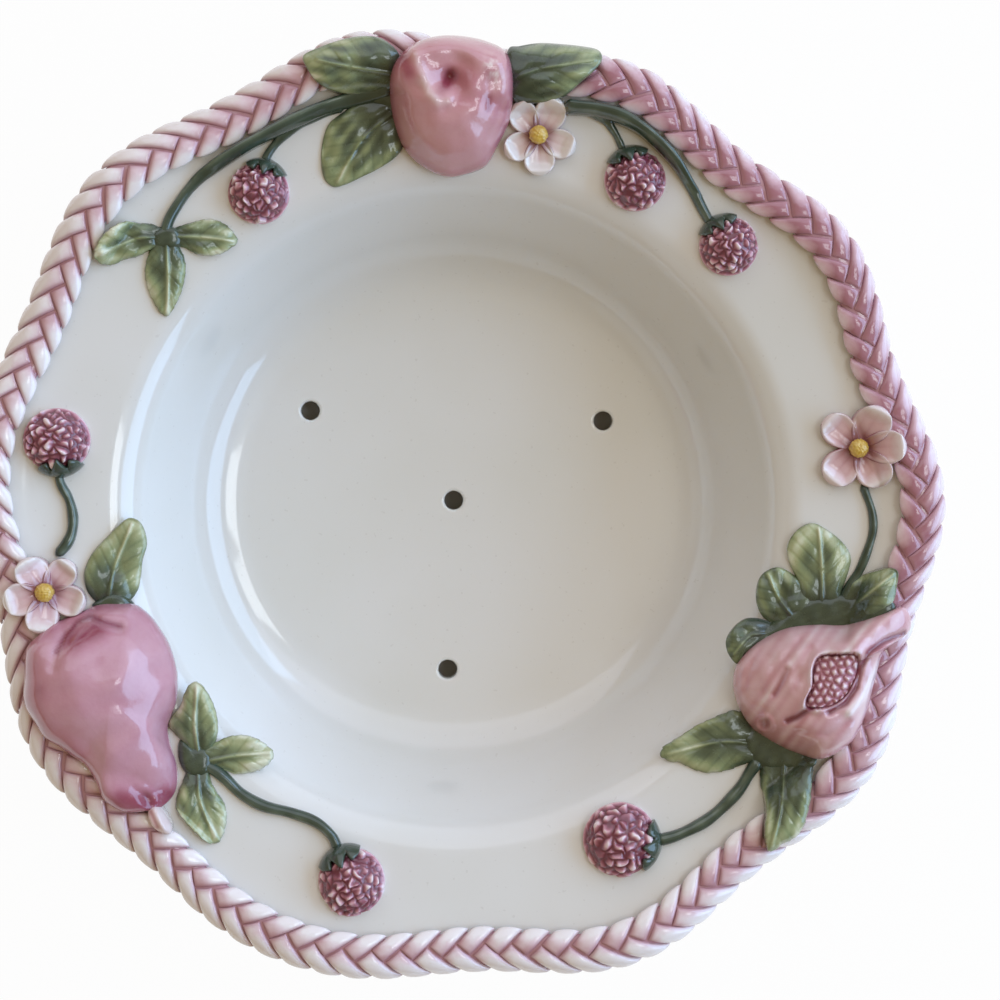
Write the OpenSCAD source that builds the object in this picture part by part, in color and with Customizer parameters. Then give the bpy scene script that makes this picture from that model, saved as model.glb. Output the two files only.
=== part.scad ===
// Berry colander bowl: a round well with four drain holes, a scalloped rim edged by a three-strand plait,
// and fruit, leaves, stems, berries and flowers laid on the rim in relief.
// Origin: centre of the foot ring's underside. +Z is up, +Y points to the peach.

/* [Bowl] */
// Mean outer diameter, over the plait
rim_d = 280; // [260:1:320]
// Width of the rim, from the well to the plait
marli_w = 28.8; // [27:0.1:30]
// Run of the well's wall, from the flat floor to the rim
wall_run = 39; // [38:0.5:42]
// Height of the rim's inner edge
lip_z = 58; // [50:1:66]
// Rise of the rim from its inner edge to the plait
marli_rise = 5; // [2:0.5:10]
// Thickness of the wall, the floor and the rim
wall_t = 5.5; // [4:0.25:7]
// Inside radius between floor and wall
corner_r = 20; // [14:1:22]
// Outside radius between wall and rim
lip_r = 14; // [10:0.5:16]

/* [Scallops] */
// Scallops around the rim
scallops = 10; // [6:1:14]
// How far a crest stands out beyond the mean edge
scallop_out = 2.7; // [0:0.1:5]
// How far a crest rises above the mean edge
ripple = 1.2; // [0:0.1:2.5]
// How far the rim is out of round
rim_oval = 2.3; // [0:0.1:3]

/* [Plait] */
// Repeats of the plait around the rim
plait_repeats = 33; // [28:1:38]
// Radius of the arch that the strands lie on
arch_r = 8; // [7.5:0.1:10]
// How far the arch's centre lies under the rim's surface
arch_sink = 4.9; // [4:0.1:6]
// Sideways swing of a strand's middle
sway_w = 5.8; // [5:0.1:6.5]
// Shift of the plait towards the outside
lean = 1.1; // [0:0.1:2]
// Rise and fall of a strand as it crosses the others
weave = 1.6; // [1.5:0.05:2]
// Width of a strand where it shows
strand_w = 6; // [4:0.1:6.4]
// Thickness of a strand
strand_t = 2; // [1.4:0.1:2]

/* [Foot and drains] */
// How far the foot ring stays inside the flat floor's edge
foot_inset = 0.5; // [0:0.25:4]
// Width of the foot ring
foot_w = 5.5; // [4:0.25:5.5]
// Height of the foot ring
foot_h = 7; // [5:0.5:12]
// Rounding of the foot ring's edges
foot_round = 1.5; // [0.5:0.25:2]
// Diameter of a drain hole
drain_d = 6; // [4:0.25:6]
// Distance of the outer drain holes from the flat floor's edge
drain_inset = 11; // [11:1:30]
// Drain holes in the ring, beside the one in the middle
drains = 3; // [3:1:8]

/* [Fruit] */
// Width of the peach
peach_w = 35; // [28:0.5:36]
// Length of the peach
peach_l = 40; // [34:0.5:42]
// Height of the peach
peach_h = 15; // [10:0.5:20]
// Depth of the dimple at the peach's stem
dimple_h = 5; // [2:0.5:8]
// Width of the pear
pear_w = 45; // [38:0.5:45.5]
// Height of the pear
pear_h = 16; // [10:0.5:20]
// Width of the pomegranate
pomegranate_w = 37; // [30:0.5:38]
// Height of the pomegranate
pomegranate_h = 14; // [10:0.5:20]
// Length of the split in the pomegranate
split_l = 17; // [12:0.5:19]
// Width of the split in the pomegranate
split_w = 11; // [8:0.5:13]
// Depth of the split in the pomegranate
split_h = 4; // [2:0.5:5]
// Height of the bed of seeds in the split
seeds_h = 2.6; // [1.5:0.1:4]

/* [Leaves and stems] */
// Thickness of a leaf at its edge
leaf_edge_t = 0.9; // [0.6:0.1:1.6]
// Thickness of a leaf at its middle
leaf_mid_t = 2.4; // [1.6:0.1:4]
// Width of a stem
stem_w = 3.2; // [2:0.1:3.4]
// Height of a stem
stem_h = 2.2; // [1.2:0.1:3]

/* [Berries and flowers] */
// Diameter of a berry
berry_d = 18.4; // [14:0.2:18.6]
// Height of a berry
berry_h = 8; // [5:0.25:10]
// How far the drupelets stand out
drupelet_h = 0.7; // [0.2:0.1:1]
// Thickness of a berry's calyx
calyx_t = 1.2; // [0.8:0.1:1.6]
// Diameter of a flower
flower_d = 22.6; // [18:0.2:23]
// Thickness of a petal
petal_t = 2.4; // [1.6:0.1:3.5]
// Diameter of a flower's eye
eye_d = 5.6; // [4:0.2:6]
// Height of a flower's eye
eye_h = 2.4; // [1.5:0.1:3.5]

/* [Hidden] */
// Gap between neighbouring pieces that are laid on the bowl
seat_gap = 0.3;
// Gap between the plait and what lies over it
plait_gap = 0.8;
// Gap between a berry and its calyx
calyx_gap = 0.45;
// Gap between the split and the seeds in it
seeds_gap = 0.9;
// Gap between the bowl and the strands
strand_gap = 0.35;
// Overrun of a cut past the surface
overrun = 1;
// Rounding of the rim's lower edge
edge_round = 1.1;

// Where the first crest lies, and how the crests drift around the rim
crest_from_angle = -1.4;
crest_drift_angle = 5.5;
crest_drift_from_angle = 56;
// Direction in which the rim is narrowest
oval_from_angle = 58;
// How far two crests stand out more than the others, and their directions
bulge_out = 5.8;
bulge_shares = [1, 0.62];
bulge_angles = [239, 205];
bulge_power = 50;

floor_z = foot_h + wall_t;
weave_top = weave + strand_t / 2;
core_r = arch_r - weave_top - strand_gap;
plait_env_r = arch_r + weave_top;
strand_tip_share = 0.3;
tip_half = strand_w / 2 * (1 - strand_tip_share);
outer_lean_angle = (sway_w + tip_half + lean) / arch_r * 180 / PI;
plait_reach = arch_r * sin(min(outer_lean_angle, 90));
mean_edge_r = rim_d / 2 - plait_reach;
marli_r = mean_edge_r - marli_w;
floor_r = marli_r - wall_run;
foot_r = floor_r - foot_inset;
drain_ring_r = floor_r - drain_inset;
marli_angle = atan(marli_rise / marli_w);

// The wall's slope follows from the two circles that it touches
lip_c = [marli_r + lip_r * sin(marli_angle), lip_z - lip_r * cos(marli_angle)];
corner_c = [floor_r, floor_z + corner_r];
centre_run = lip_c - corner_c;
wall_angle = atan2(centre_run[1], centre_run[0]) + asin((lip_r + corner_r) / norm(centre_run));
seat_angle = 45;

function drift(a) = crest_drift_angle * cos(a + crest_drift_from_angle);
function wave(a) = cos(scallops * (a - crest_from_angle - drift(a)));
function bulge(a, i) = bulge_out * bulge_shares[i] * max(cos(a - bulge_angles[i]), 0) ^ bulge_power;
function edge_r(a) =
    mean_edge_r + scallop_out * wave(a) - rim_oval * cos(2 * (a - oval_from_angle))
    + bulge(a, 0) + bulge(a, 1);
function across(r, a) = (r - marli_r) / (edge_r(a) - marli_r);
function marli_z(r, a) = lip_z + marli_rise * across(r, a) + ripple * wave(a) * across(r, a) ^ 2;
function rim_z(a) = marli_z(edge_r(a), a);
function ring_point(a, r, z) = [r * cos(a), r * sin(a), z];
function mix(a, b, share) = a + (b - a) * share;
function arc(c, r, from, to, steps) =
    [for (i = [0 : steps]) let (s = mix(from, to, i / steps)) [c[0] + r * sin(s), c[1] - r * cos(s)]];

// Height of the bowl's top at a place, as it carries what lies on the rim
function lip_arc_z(sine) = lip_c[1] + lip_r * sqrt(max(1 - sine ^ 2, 0));
function lip_seat_z(r) =
    let (
        sine = (lip_c[0] - r) / lip_r,
        last = sin(seat_angle)
    )
    sine < last ? lip_arc_z(sine) : lip_arc_z(last) - (sine - last) * lip_r * tan(seat_angle);
function shell_z(r, a) = r < marli_r ? lip_seat_z(r) : marli_z(min(r, edge_r(a)), a);
function plait_top_z(r, a) =
    rim_z(a) - arch_sink + sqrt(max((plait_env_r + plait_gap) ^ 2 - (r - edge_r(a)) ^ 2, 0));
function seat_z(p) =
    let (
        r = norm([p[0], p[1]]),
        a = atan2(p[1], p[0])
    )
    max(shell_z(r, a) + seat_gap, plait_top_z(r, a));
// A place on the rim: its direction, and its share of the way from the rim's inner edge to the plait
function place(at) =
    let (r = marli_r + at[1] * (edge_r(at[0]) - marli_r))
    [r * cos(at[0]), r * sin(at[0])];
function seated(p, h) = [p[0], p[1], seat_z(p) + h];
function turned(v, a) = [v[0] * cos(a) - v[1] * sin(a), v[0] * sin(a) + v[1] * cos(a)];

// Two triangles for each side between two neighbouring sections
function side_faces(n, from, to) = [
    for (i = [0 : n - 1], half = [0, 1])
        let (j = (i + 1) % n)
        half == 0 ? [from + i, to + i, to + j] : [from + i, to + j, from + j]
];
function centre(points) = [for (k = [0 : 2]) sum([for (p = points) p[k]]) / len(points)];
function sum(v, i = 0) = i == len(v) - 1 ? v[i] : v[i] + sum(v, i + 1);

// Skin over a stack of closed sections, closed at both ends or joined round into a ring
module loft(sections, ring = false) {
    n = len(sections[0]);
    m = len(sections);
    skin = [for (s = sections, p = s) p];
    ends = ring ? [] : [centre(sections[0]), centre(sections[m - 1])];
    sides = [for (k = [0 : (ring ? m - 1 : m - 2)]) each side_faces(n, k * n, ((k + 1) % m) * n)];
    first = ring ? [] : [for (i = [0 : n - 1]) [m * n, i, (i + 1) % n]];
    last = ring ? [] : [for (i = [0 : n - 1]) [m * n + 1, (m - 1) * n + (i + 1) % n, (m - 1) * n + i]];
    polyhedron(points = concat(skin, ends), faces = concat(sides, first, last));
}

// Bowl body
body_steps = 90;
corner_steps = 4;
corner_under_steps = 3;
lip_steps = 3;
lip_under_steps = 2;
bore_sides = 48;
drain_from_angle = 28;
bead_from_angle = acos(min(arch_sink / core_r, 1));
bead_angles = [-bead_from_angle / 2, bead_from_angle / 2, 45, 68, 90];
rim_mid_share = 0.5;
function bead_point(s, a) =
    [edge_r(a) + core_r * sin(s), rim_z(a) - arch_sink + core_r * cos(s)];
function rim_point(share, a, under) =
    let (r = mix(marli_r, edge_r(a), share))
    [r, marli_z(r, a) - under];
function body_profile(a) = concat(
    arc(corner_c, corner_r, 0, wall_angle, corner_steps),
    arc(lip_c, -lip_r, wall_angle, marli_angle, lip_steps),
    [rim_point(rim_mid_share, a, 0)],
    [[edge_r(a) - core_r * sin(bead_from_angle), rim_z(a)]],
    [for (s = bead_angles) bead_point(s, a)],
    [[edge_r(a) + core_r - edge_round, rim_z(a) - wall_t]],
    [rim_point(rim_mid_share, a, wall_t)],
    arc(lip_c, wall_t - lip_r, marli_angle, wall_angle, lip_under_steps),
    arc(corner_c, corner_r + wall_t, wall_angle, 0, corner_under_steps)
);
module bowl_shell() {
    profiles = [for (i = [0 : body_steps - 1]) let (a = 360 * i / body_steps) [a, body_profile(a)]];
    m = len(profiles[0][1]);
    skin = [for (k = [0 : m - 1], p = profiles) ring_point(p[0], p[1][k][0], p[1][k][1])];
    sides = [for (k = [0 : m - 2]) each side_faces(body_steps, (k + 1) * body_steps, k * body_steps)];
    strips = [for (i = [0 : body_steps / 2 - 2]) [i, i + 1, body_steps - 2 - i, body_steps - 1 - i]];
    inside = [for (s = strips) [s[3], s[2], s[1], s[0]]];
    under = [for (s = strips) [for (i = s) i + (m - 1) * body_steps]];
    polyhedron(points = skin, faces = concat(sides, inside, under));
}
module drain_bores() {
    cylinder(d = drain_d, h = floor_z + overrun, $fn = bore_sides);
    for (i = [0 : drains - 1]) {
        rotate([0, 0, drain_from_angle + 360 * i / drains])
            translate([drain_ring_r, 0, 0])
                cylinder(d = drain_d, h = floor_z + overrun, $fn = bore_sides);
    }
}
module bowl_body() {
    color("#eeebe4")
        difference() {
            bowl_shell();
            drain_bores();
        }
}

// Foot ring
ring_sides = 96;
module foot_ring() {
    color("#e6e1d8")
        rotate_extrude($fn = ring_sides)
            translate([foot_r - foot_w, 0])
                polygon([
                    [foot_round, 0],
                    [foot_w - foot_round, 0],
                    [foot_w, foot_round],
                    [foot_w, foot_h],
                    [0, foot_h],
                    [0, foot_round]
                ]);
}

// Plait
strand_steps = 11;
strand_sides = 5;
strand_turn_share = 0.3;
function plait_point(a, side, off) =
    let (s = side / arch_r * 180 / PI)
    ring_point(
        a,
        edge_r(a) + (arch_r + off) * sin(s),
        rim_z(a) - arch_sink + (arch_r + off) * cos(s)
    );
function strand_section(a, phase) =
    let (
        t = a * plait_repeats + phase,
        run = mean_edge_r / plait_repeats,
        turn = strand_turn_share * atan(sway_w * cos(t) / run),
        half = strand_w / 2 * (1 - strand_tip_share * sin(t) ^ 2)
    )
    [
        for (i = [0 : strand_sides - 1])
            let (
                q = 360 * i / strand_sides,
                w = half * cos(q),
                along = -w * sin(turn) / mean_edge_r * 180 / PI
            )
            plait_point(a + along, sway_w * sin(t) + lean + w * cos(turn),
                weave * sin(2 * t) - strand_t / 2 * sin(q))
    ];
module plait_strand(phase) {
    steps = strand_steps * plait_repeats;
    color("#d9a3ad")
        loft([for (i = [0 : steps - 1]) strand_section(360 * i / steps, phase)], ring = true);
}

// Leaves: base, tip, width as a share of the length, and sideways bend as a share of the length
leaf_places = [
    [[97.7, 0.86], [108.4, 1.15]],
    [[100.1, 0.45], [109.3, -0.14]],
    [[82.4, 0.95], [71.9, 1.20]],
    [[137.9, 0.43], [144.2, 0.78]],
    [[135.3, 0.30], [128.3, -0.12]],
    [[138.3, 0.28], [145.7, -0.09]],
    [[194.7, 0], [181.7, -0.31]],
    [[223.9, -0.04], [214.3, -0.40]],
    [[225.7, -0.08], [233.1, -0.53]],
    [[226.6, 0.14], [234.3, 0.58]],
    [[346.8, 0.19], [357.9, 0.02]],
    [[341.1, -0.08], [348.8, -0.45]],
    [[338.4, -0.34], [331.8, -0.39]],
    [[346.3, 0.54], [351.8, 0.94]],
    [[321.5, 0.14], [310.5, -0.36]],
    [[322.0, 0.62], [312.8, 1.16]]
];
leaf_width_shares = [
    0.56, 0.7, 0.56, 0.62, 0.58, 0.66, 0.62, 0.56, 0.62, 0.62, 0.74, 0.72, 0.62, 0.66, 0.55, 0.52
];
leaf_bend_shares = [
    0.06, 0.11, -0.05, 0.04, 0.06, -0.03, -0.08, -0.04, 0.05, 0.04, -0.03, 0.08, 0.02, 0.04, 0.06, 0.04
];
leaf_section_shares = [0.02, 0.12, 0.25, 0.38, 0.51, 0.64, 0.77, 0.89, 0.98];
leaf_side_shares = [-1, -0.5, 0, 0.5, 1];
leaf_under_shares = [1, 0, -1];
leaf_power = 0.7;
leaf_place_power = 0.75;
function leaf_half(u, w) = w / 2 * sin(180 * u ^ leaf_place_power) ^ leaf_power;
function leaf_top(v) = mix(leaf_mid_t, leaf_edge_t, v ^ 2);
function leaf_point(base, run, w, bend, u, v) =
    let (side = [run[1], -run[0]] / norm(run))
    base + run * u + side * (leaf_half(u, w) * v + bend * sin(180 * u));
function leaf_section(base, run, w, bend, u) = concat(
    [for (v = leaf_side_shares) seated(leaf_point(base, run, w, bend, u, v), leaf_top(v))],
    [for (v = leaf_under_shares) seated(leaf_point(base, run, w, bend, u, v), 0)]
);
module leaf(i) {
    base = place(leaf_places[i][0]);
    run = place(leaf_places[i][1]) - base;
    w = leaf_width_shares[i] * norm(run);
    bend = leaf_bend_shares[i] * norm(run);
    color("#566b40")
        loft([for (u = leaf_section_shares) leaf_section(base, run, w, bend, u)]);
}

// Stems: each route runs along places on the rim
stem_routes = [
    [[102.3, 0.62], [107.2, 0.67], [114.6, 0.72], [125.0, 0.66], [129.4, 0.60], [133.5, 0.51], [135.9, 0.44]],
    [[113.3, 0.57], [115.6, 0.53], [117.5, 0.47]],
    [[73.5, 0.69], [68.1, 0.74], [62.5, 0.71], [57.8, 0.66], [53.1, 0.55], [49.1, 0.46]],
    [[69.9, 0.56], [67.2, 0.54], [65.2, 0.47]],
    [[186.0, 0.44], [183.5, 0.30], [180.5, 0.26], [177.5, 0.32], [175.8, 0.37]],
    [[229.3, 0.02], [233.2, 0.05], [237.3, 0.03], [241.6, -0.07], [246.0, -0.09], [249.3, -0.01], [250.4, 0.06]],
    [[351.2, 0.52], [354.3, 0.58], [358.2, 0.58], [2.0, 0.53]],
    [[318.8, 0.36], [314.4, 0.50], [309.1, 0.55], [304.3, 0.49], [302.5, 0.43]]
];
stem_step_share = 30;
stem_half_shares = [-1, -0.72, 0, 0.72, 1];
stem_high_shares = [0, 0.72, 1, 0.72, 0];
function bent(p, i, s) =
    let (
        a = p[max(i - 1, 0)],
        b = p[i],
        c = p[i + 1],
        d = p[min(i + 2, len(p) - 1)]
    )
    (2 * b + (c - a) * s + (2 * a - 5 * b + 4 * c - d) * s ^ 2 + (3 * b - a - 3 * c + d) * s ^ 3) / 2;
function route_points(p, step) = concat(
    [
        for (i = [0 : len(p) - 2])
            let (n = max(1, round(norm(p[i + 1] - p[i]) / step)))
            for (k = [0 : n - 1]) bent(p, i, k / n)
    ],
    [p[len(p) - 1]]
);
module stem(i) {
    line = route_points([for (at = stem_routes[i]) place(at)], mean_edge_r / stem_step_share);
    m = len(line);
    color("#3d4a38")
        loft([
            for (k = [0 : m - 1])
                let (
                    way = line[min(k + 1, m - 1)] - line[max(k - 1, 0)],
                    side = [way[1], -way[0]] / norm(way) * stem_w / 2
                )
                [
                    for (j = [0 : len(stem_half_shares) - 1])
                        seated(line[k] + side * stem_half_shares[j], stem_h * stem_high_shares[j])
                ]
        ]);
}

// Berries: place, and the direction of the calyx as seen from the berry
berry_places = [[122.0, 0.21], [170.4, 0.47], [61.2, 0.24], [43.7, 0.30], [254.5, 0.35], [296.4, 0.18]];
berry_size_shares = [0.95, 1, 0.95, 0.9, 1.03, 1.14];
calyx_heading_angles = [72, 278, 108, 118, 116, 350];
berry_sides = 24;
berry_rise_angles = [0, 18, 36, 54, 72];
drupelets = 8;
function dome_point(c, d, h, rise, q, bump) =
    seated(c + (d / 2 - bump) * cos(rise) * [cos(q), sin(q)], (h - bump) * sin(rise));
function berry_bump(q, k) = drupelet_h / 2 * (1 + cos(drupelets * q + 180 * k));
function round_base(c, d, n) = [
    for (i = [0 : n - 1])
        let (q = 360 * i / n)
        seated(c + d / 2 * [cos(q), sin(q)], 0)
];
module berry(i) {
    c = place(berry_places[i]);
    d = berry_d * berry_size_shares[i];
    color("#a5485c")
        loft(concat(
            [round_base(c, d - 2 * drupelet_h, berry_sides)],
            [
                for (k = [1 : len(berry_rise_angles) - 1])
                    [
                        for (j = [0 : berry_sides - 1])
                            let (q = 360 * j / berry_sides)
                            dome_point(c, d, berry_h, berry_rise_angles[k], q, berry_bump(q, k))
                    ]
            ]
        ));
}

// Calyxes: three sepals that lie over the berry's shoulder, with a gap under them
calyx_spread_angle = 52;
calyx_steps = 8;
calyx_low_angle = 24;
calyx_high_angle = 44;
calyx_sepals = 3;
function calyx_section(c, d, h, q, high, thick) = concat(
    [for (rise = [0, high / 2, high]) dome_point(c, d, h, rise, q, 0)],
    [for (rise = [high, high / 2, 0]) dome_point(c, d, h, rise, q, -thick)]
);
module calyx(i) {
    c = place(berry_places[i]);
    d = berry_d * berry_size_shares[i] + 2 * calyx_gap;
    h = berry_h + calyx_gap;
    color("#3f5138")
        loft([
            for (k = [0 : calyx_steps])
                let (
                    s = 2 * k / calyx_steps - 1,
                    lift = abs(cos(calyx_sepals * 90 * s)),
                    high = mix(calyx_low_angle, calyx_high_angle, lift),
                    thick = calyx_t * (1 - s ^ 2 / 2)
                )
                calyx_section(c, d, h, calyx_heading_angles[i] + calyx_spread_angle * s, high, thick)
        ]);
}

// Flowers: place and turn
flower_places = [[76.4, 0.31], [191.7, 0.69], [8.6, 0.51]];
flower_turn_angles = [-10, -22, -12];
petals = 5;
flower_sides = 30;
petal_notch_share = 0.45;
petal_power = 0.6;
// Rings of a flower, from under it to its cup: share of its radius and share of its thickness
flower_ring_shares = [[0.35, 0], [0.7, 0], [1, 0], [0.97, 0.5], [0.7, 1], [0.3, 0.5]];
function petal_share(q) = 1 - petal_notch_share * (1 - abs(cos(petals * q / 2)) ^ petal_power);
function flower_ring(c, turn, share, h) = [
    for (i = [0 : flower_sides - 1])
        let (q = 360 * i / flower_sides)
        seated(c + flower_d / 2 * petal_share(q) * share * [cos(q + turn), sin(q + turn)], h)
];
module flower(i) {
    c = place(flower_places[i]);
    color("#dcb3b8")
        loft([for (s = flower_ring_shares) flower_ring(c, flower_turn_angles[i], s[0], petal_t * s[1])]);
}
eye_sides = 12;
eye_ring_shares = [[0.6, 0], [1, 0], [0.87, 0.5], [0.5, 0.87]];
module eye(i) {
    c = place(flower_places[i]);
    low = petal_t + seat_gap;
    color("#d8b13c")
        loft([
            for (s = eye_ring_shares)
                [
                    for (j = [0 : eye_sides - 1])
                        let (q = 360 * j / eye_sides)
                        seated(c + eye_d / 2 * s[0] * [cos(q), sin(q)], low + eye_h * s[1])
                ]
        ]);
}

// Peach: rings that drift from the middle of its outline to its stem
peach_place = [90.5, 0.53];
peach_stem_place = [90.5, 0.8];
peach_sides = 24;
peach_under_shares = [0.25, 0.5, 0.75, 1];
peach_rise_angles = [20, 42, 62, 78];
peach_drift_power = 4;
function peach_ring(c, share, h) = [
    for (i = [0 : peach_sides - 1])
        let (q = 360 * i / peach_sides)
        seated(c + share / 2 * [peach_w * cos(q), peach_l * sin(q)], h)
];
module peach() {
    c = place(peach_place);
    dimple = place(peach_stem_place);
    color("#cf8d98")
        loft(concat(
            [for (s = peach_under_shares) peach_ring(c, s, 0)],
            [
                for (s = peach_rise_angles)
                    peach_ring(mix(c, dimple, sin(s) ^ peach_drift_power), cos(s), peach_h * sin(s))
            ],
            [peach_ring(dimple, cos(peach_rise_angles[3]) / 2, peach_h - dimple_h)]
        ));
}

// Pear: sections across its length, from the broad end to the stem end
pear_from = [195.1, 0.11];
pear_to = [225.5, 0.74];
pear_bend_share = 0.1;
pear_swell_power = 0.6;
pear_length_shares = [0.01, 0.06, 0.13, 0.21, 0.3, 0.39, 0.48, 0.57, 0.66, 0.76, 0.85, 0.94, 0.99];
pear_width_shares = [0.2, 0.48, 0.74, 0.9, 0.98, 1, 0.95, 0.86, 0.74, 0.63, 0.54, 0.39, 0.18];
lump_top_steps = 9;
lump_under_steps = 10;
lump_edge_share = 0.12;
function lump_section(at, side, half, h) = concat(
    [
        for (k = [0 : lump_top_steps])
            let (q = mix(0, 180, k / lump_top_steps))
            seated(at - side * half * cos(q), h * mix(lump_edge_share, 1, sin(q)))
    ],
    [for (k = [0 : lump_under_steps]) seated(at + side * half * (1 - 2 * k / lump_under_steps), 0)]
);
module pear() {
    base = place(pear_from);
    run = place(pear_to) - base;
    side = [run[1], -run[0]] / norm(run);
    bend = pear_bend_share * run * run / norm(run);
    color("#cc8d98")
        loft([
            for (k = [0 : len(pear_length_shares) - 1])
                let (
                    u = pear_length_shares[k],
                    at = base + run * u + side * bend * sin(180 * u)
                )
                lump_section(at, side, pear_w / 2 * pear_width_shares[k],
                    pear_h * pear_width_shares[k] ^ pear_swell_power)
        ]);
}

// Pomegranate: a lens with a pointed crown, and a hollow where it has split
pomegranate_from = [323.9, 0.07];
pomegranate_to = [345.9, 1.14];
pomegranate_length_shares = [
    0.01, 0.06, 0.14, 0.23, 0.32, 0.4, 0.46, 0.52, 0.58, 0.64, 0.7, 0.76, 0.82, 0.88, 0.94, 0.99
];
split_place = [335.6, 0.53];
split_turn_angle = 51;
split_fade_share = 1.3;
pomegranate_place_power = 0.62;
pomegranate_power = 0.75;
function pomegranate_half(u) = pomegranate_w / 2 * sin(180 * u ^ pomegranate_place_power) ^ pomegranate_power;
function pomegranate_rise(u) = pomegranate_h * sin(180 * u ^ pomegranate_place_power) ^ pomegranate_power;
function split_depth(p) =
    let (
        v = turned(p - place(split_place), -split_turn_angle),
        d = norm([v[0] / split_l * 2, v[1] / split_w * 2])
    )
    split_h * (1 + cos(180 * min(d / split_fade_share, 1))) / 2;
function pomegranate_top(p) =
    let (
        base = place(pomegranate_from),
        run = place(pomegranate_to) - base,
        u = (p - base) * run / (run * run),
        v = cross(p - base, run) / norm(run) / pomegranate_half(u)
    )
    pomegranate_rise(u) * mix(lump_edge_share, 1, sqrt(max(1 - v ^ 2, 0))) - split_depth(p);
pomegranate_top_steps = 24;
module pomegranate() {
    base = place(pomegranate_from);
    run = place(pomegranate_to) - base;
    side = [run[1], -run[0]] / norm(run);
    color("#c9818d")
        loft([
            for (u = pomegranate_length_shares)
                let (
                    at = base + run * u,
                    half = pomegranate_half(u)
                )
                concat(
                    [
                        for (k = [0 : pomegranate_top_steps])
                            let (p = at - side * half * cos(180 * k / pomegranate_top_steps))
                            seated(p, pomegranate_top(p))
                    ],
                    [
                        for (k = [0 : lump_under_steps])
                            seated(at + side * half * (1 - 2 * k / lump_under_steps), 0)
                    ]
                )
        ]);
}
seeds_sides = 18;
seeds_ring_shares = [[0.4, 0], [0.76, 0], [0.76, 0.33], [0.58, 0.8], [0.3, 1]];
function seeds_ring(share, h) = [
    for (i = [0 : seeds_sides - 1])
        let (
            q = 360 * i / seeds_sides,
            oval = share / 2 * [split_l * cos(q), split_w * sin(q)],
            p = place(split_place) + turned(oval, split_turn_angle)
        )
        seated(p, pomegranate_top(p) + seeds_gap + h)
];
module pomegranate_seeds() {
    color("#8e3049")
        loft([for (s = seeds_ring_shares) seeds_ring(s[0], seeds_h * s[1])]);
}

bowl_body();
foot_ring();
plait_strand(0);  // plait_1
plait_strand(120);  // plait_2
plait_strand(240);  // plait_3
peach();
pear();
pomegranate();
pomegranate_seeds();
for (i = [1 : len(leaf_places)]) leaf(i - 1);
for (i = [1 : len(stem_routes)]) stem(i - 1);
for (i = [1 : len(berry_places)]) berry(i - 1);
for (i = [1 : len(berry_places)]) calyx(i - 1);
for (i = [1 : len(flower_places)]) flower(i - 1);
for (i = [1 : len(flower_places)]) eye(i - 1);
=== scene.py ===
import math

import bmesh
import bpy
import numpy as np
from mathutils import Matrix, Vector


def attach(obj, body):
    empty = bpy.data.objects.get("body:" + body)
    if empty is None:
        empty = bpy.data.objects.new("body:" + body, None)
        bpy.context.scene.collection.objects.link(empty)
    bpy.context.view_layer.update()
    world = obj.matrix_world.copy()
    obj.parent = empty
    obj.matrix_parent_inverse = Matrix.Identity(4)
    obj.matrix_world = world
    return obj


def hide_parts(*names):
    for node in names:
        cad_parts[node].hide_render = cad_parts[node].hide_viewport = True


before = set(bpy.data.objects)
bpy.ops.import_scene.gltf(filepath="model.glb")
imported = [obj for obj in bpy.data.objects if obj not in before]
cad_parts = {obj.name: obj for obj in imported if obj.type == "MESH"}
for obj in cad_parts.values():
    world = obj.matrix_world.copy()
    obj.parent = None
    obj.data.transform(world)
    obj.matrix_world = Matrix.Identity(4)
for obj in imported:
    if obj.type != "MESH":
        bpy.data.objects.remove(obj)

# Lengths are in millimetres until a mesh is made, and angles in degrees.
MM = 0.001

# Bowl, with the sizes of its construction
RIM_D, MARLI_W, WALL_RUN, LIP_Z, MARLI_RISE = 280.0, 28.8, 39.0, 58.0, 5.0
WALL_T, CORNER_R, LIP_R = 5.5, 20.0, 14.0
SCALLOPS, SCALLOP_OUT, RIPPLE, RIM_OVAL, OVAL_FROM = 10, 2.7, 1.2, 2.3, 58.0
CREST_FROM, CREST_DRIFT, CREST_DRIFT_FROM = -1.4, 5.5, 56.0
BULGES, BULGE_SHARPNESS = ((5.8, 239.0), (3.6, 205.0)), 50
FOOT_H, DRAIN_D, DRAIN_INSET, DRAIN_FROM, DRAINS = 7.0, 6.0, 11.0, 28.0, 3
ARCH_R, ARCH_SINK, SWAY, LEAN, WEAVE, STRAND_W, STRAND_T = 8.0, 4.9, 5.8, 1.1, 1.6, 6.0, 2.0
PLAIT_REPEATS = 33
SEAT_GAP, PLAIT_GAP, STRAND_GAP, EDGE_ROUND = 0.3, 0.8, 0.35, 1.1
FLOOR_Z = FOOT_H + WALL_T
CORE_R = ARCH_R - WEAVE - STRAND_T / 2 - STRAND_GAP
PLAIT_ENV_R = ARCH_R + WEAVE + STRAND_T / 2
OUTER_LEAN = (SWAY + STRAND_W * 0.35 + LEAN) / ARCH_R
MEAN_EDGE_R = RIM_D / 2 - ARCH_R * math.sin(OUTER_LEAN)
MARLI_R = MEAN_EDGE_R - MARLI_W
FLOOR_R = MARLI_R - WALL_RUN
DRAIN_RING_R = FLOOR_R - DRAIN_INSET
MARLI_SLOPE = math.degrees(math.atan(MARLI_RISE / MARLI_W))

# The photograph: pixel of the rim's axis, mm per pixel at the rim's height, and the camera's place
AXIS_PX = np.array((455.4, 508.7))
PX = 0.2931
RIM_LEVEL = 66.0
CAMERA = np.array((-6.0, 30.0, 670.0))


def sin(a):
    return np.sin(np.radians(a))


def cos(a):
    return np.cos(np.radians(a))


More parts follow.
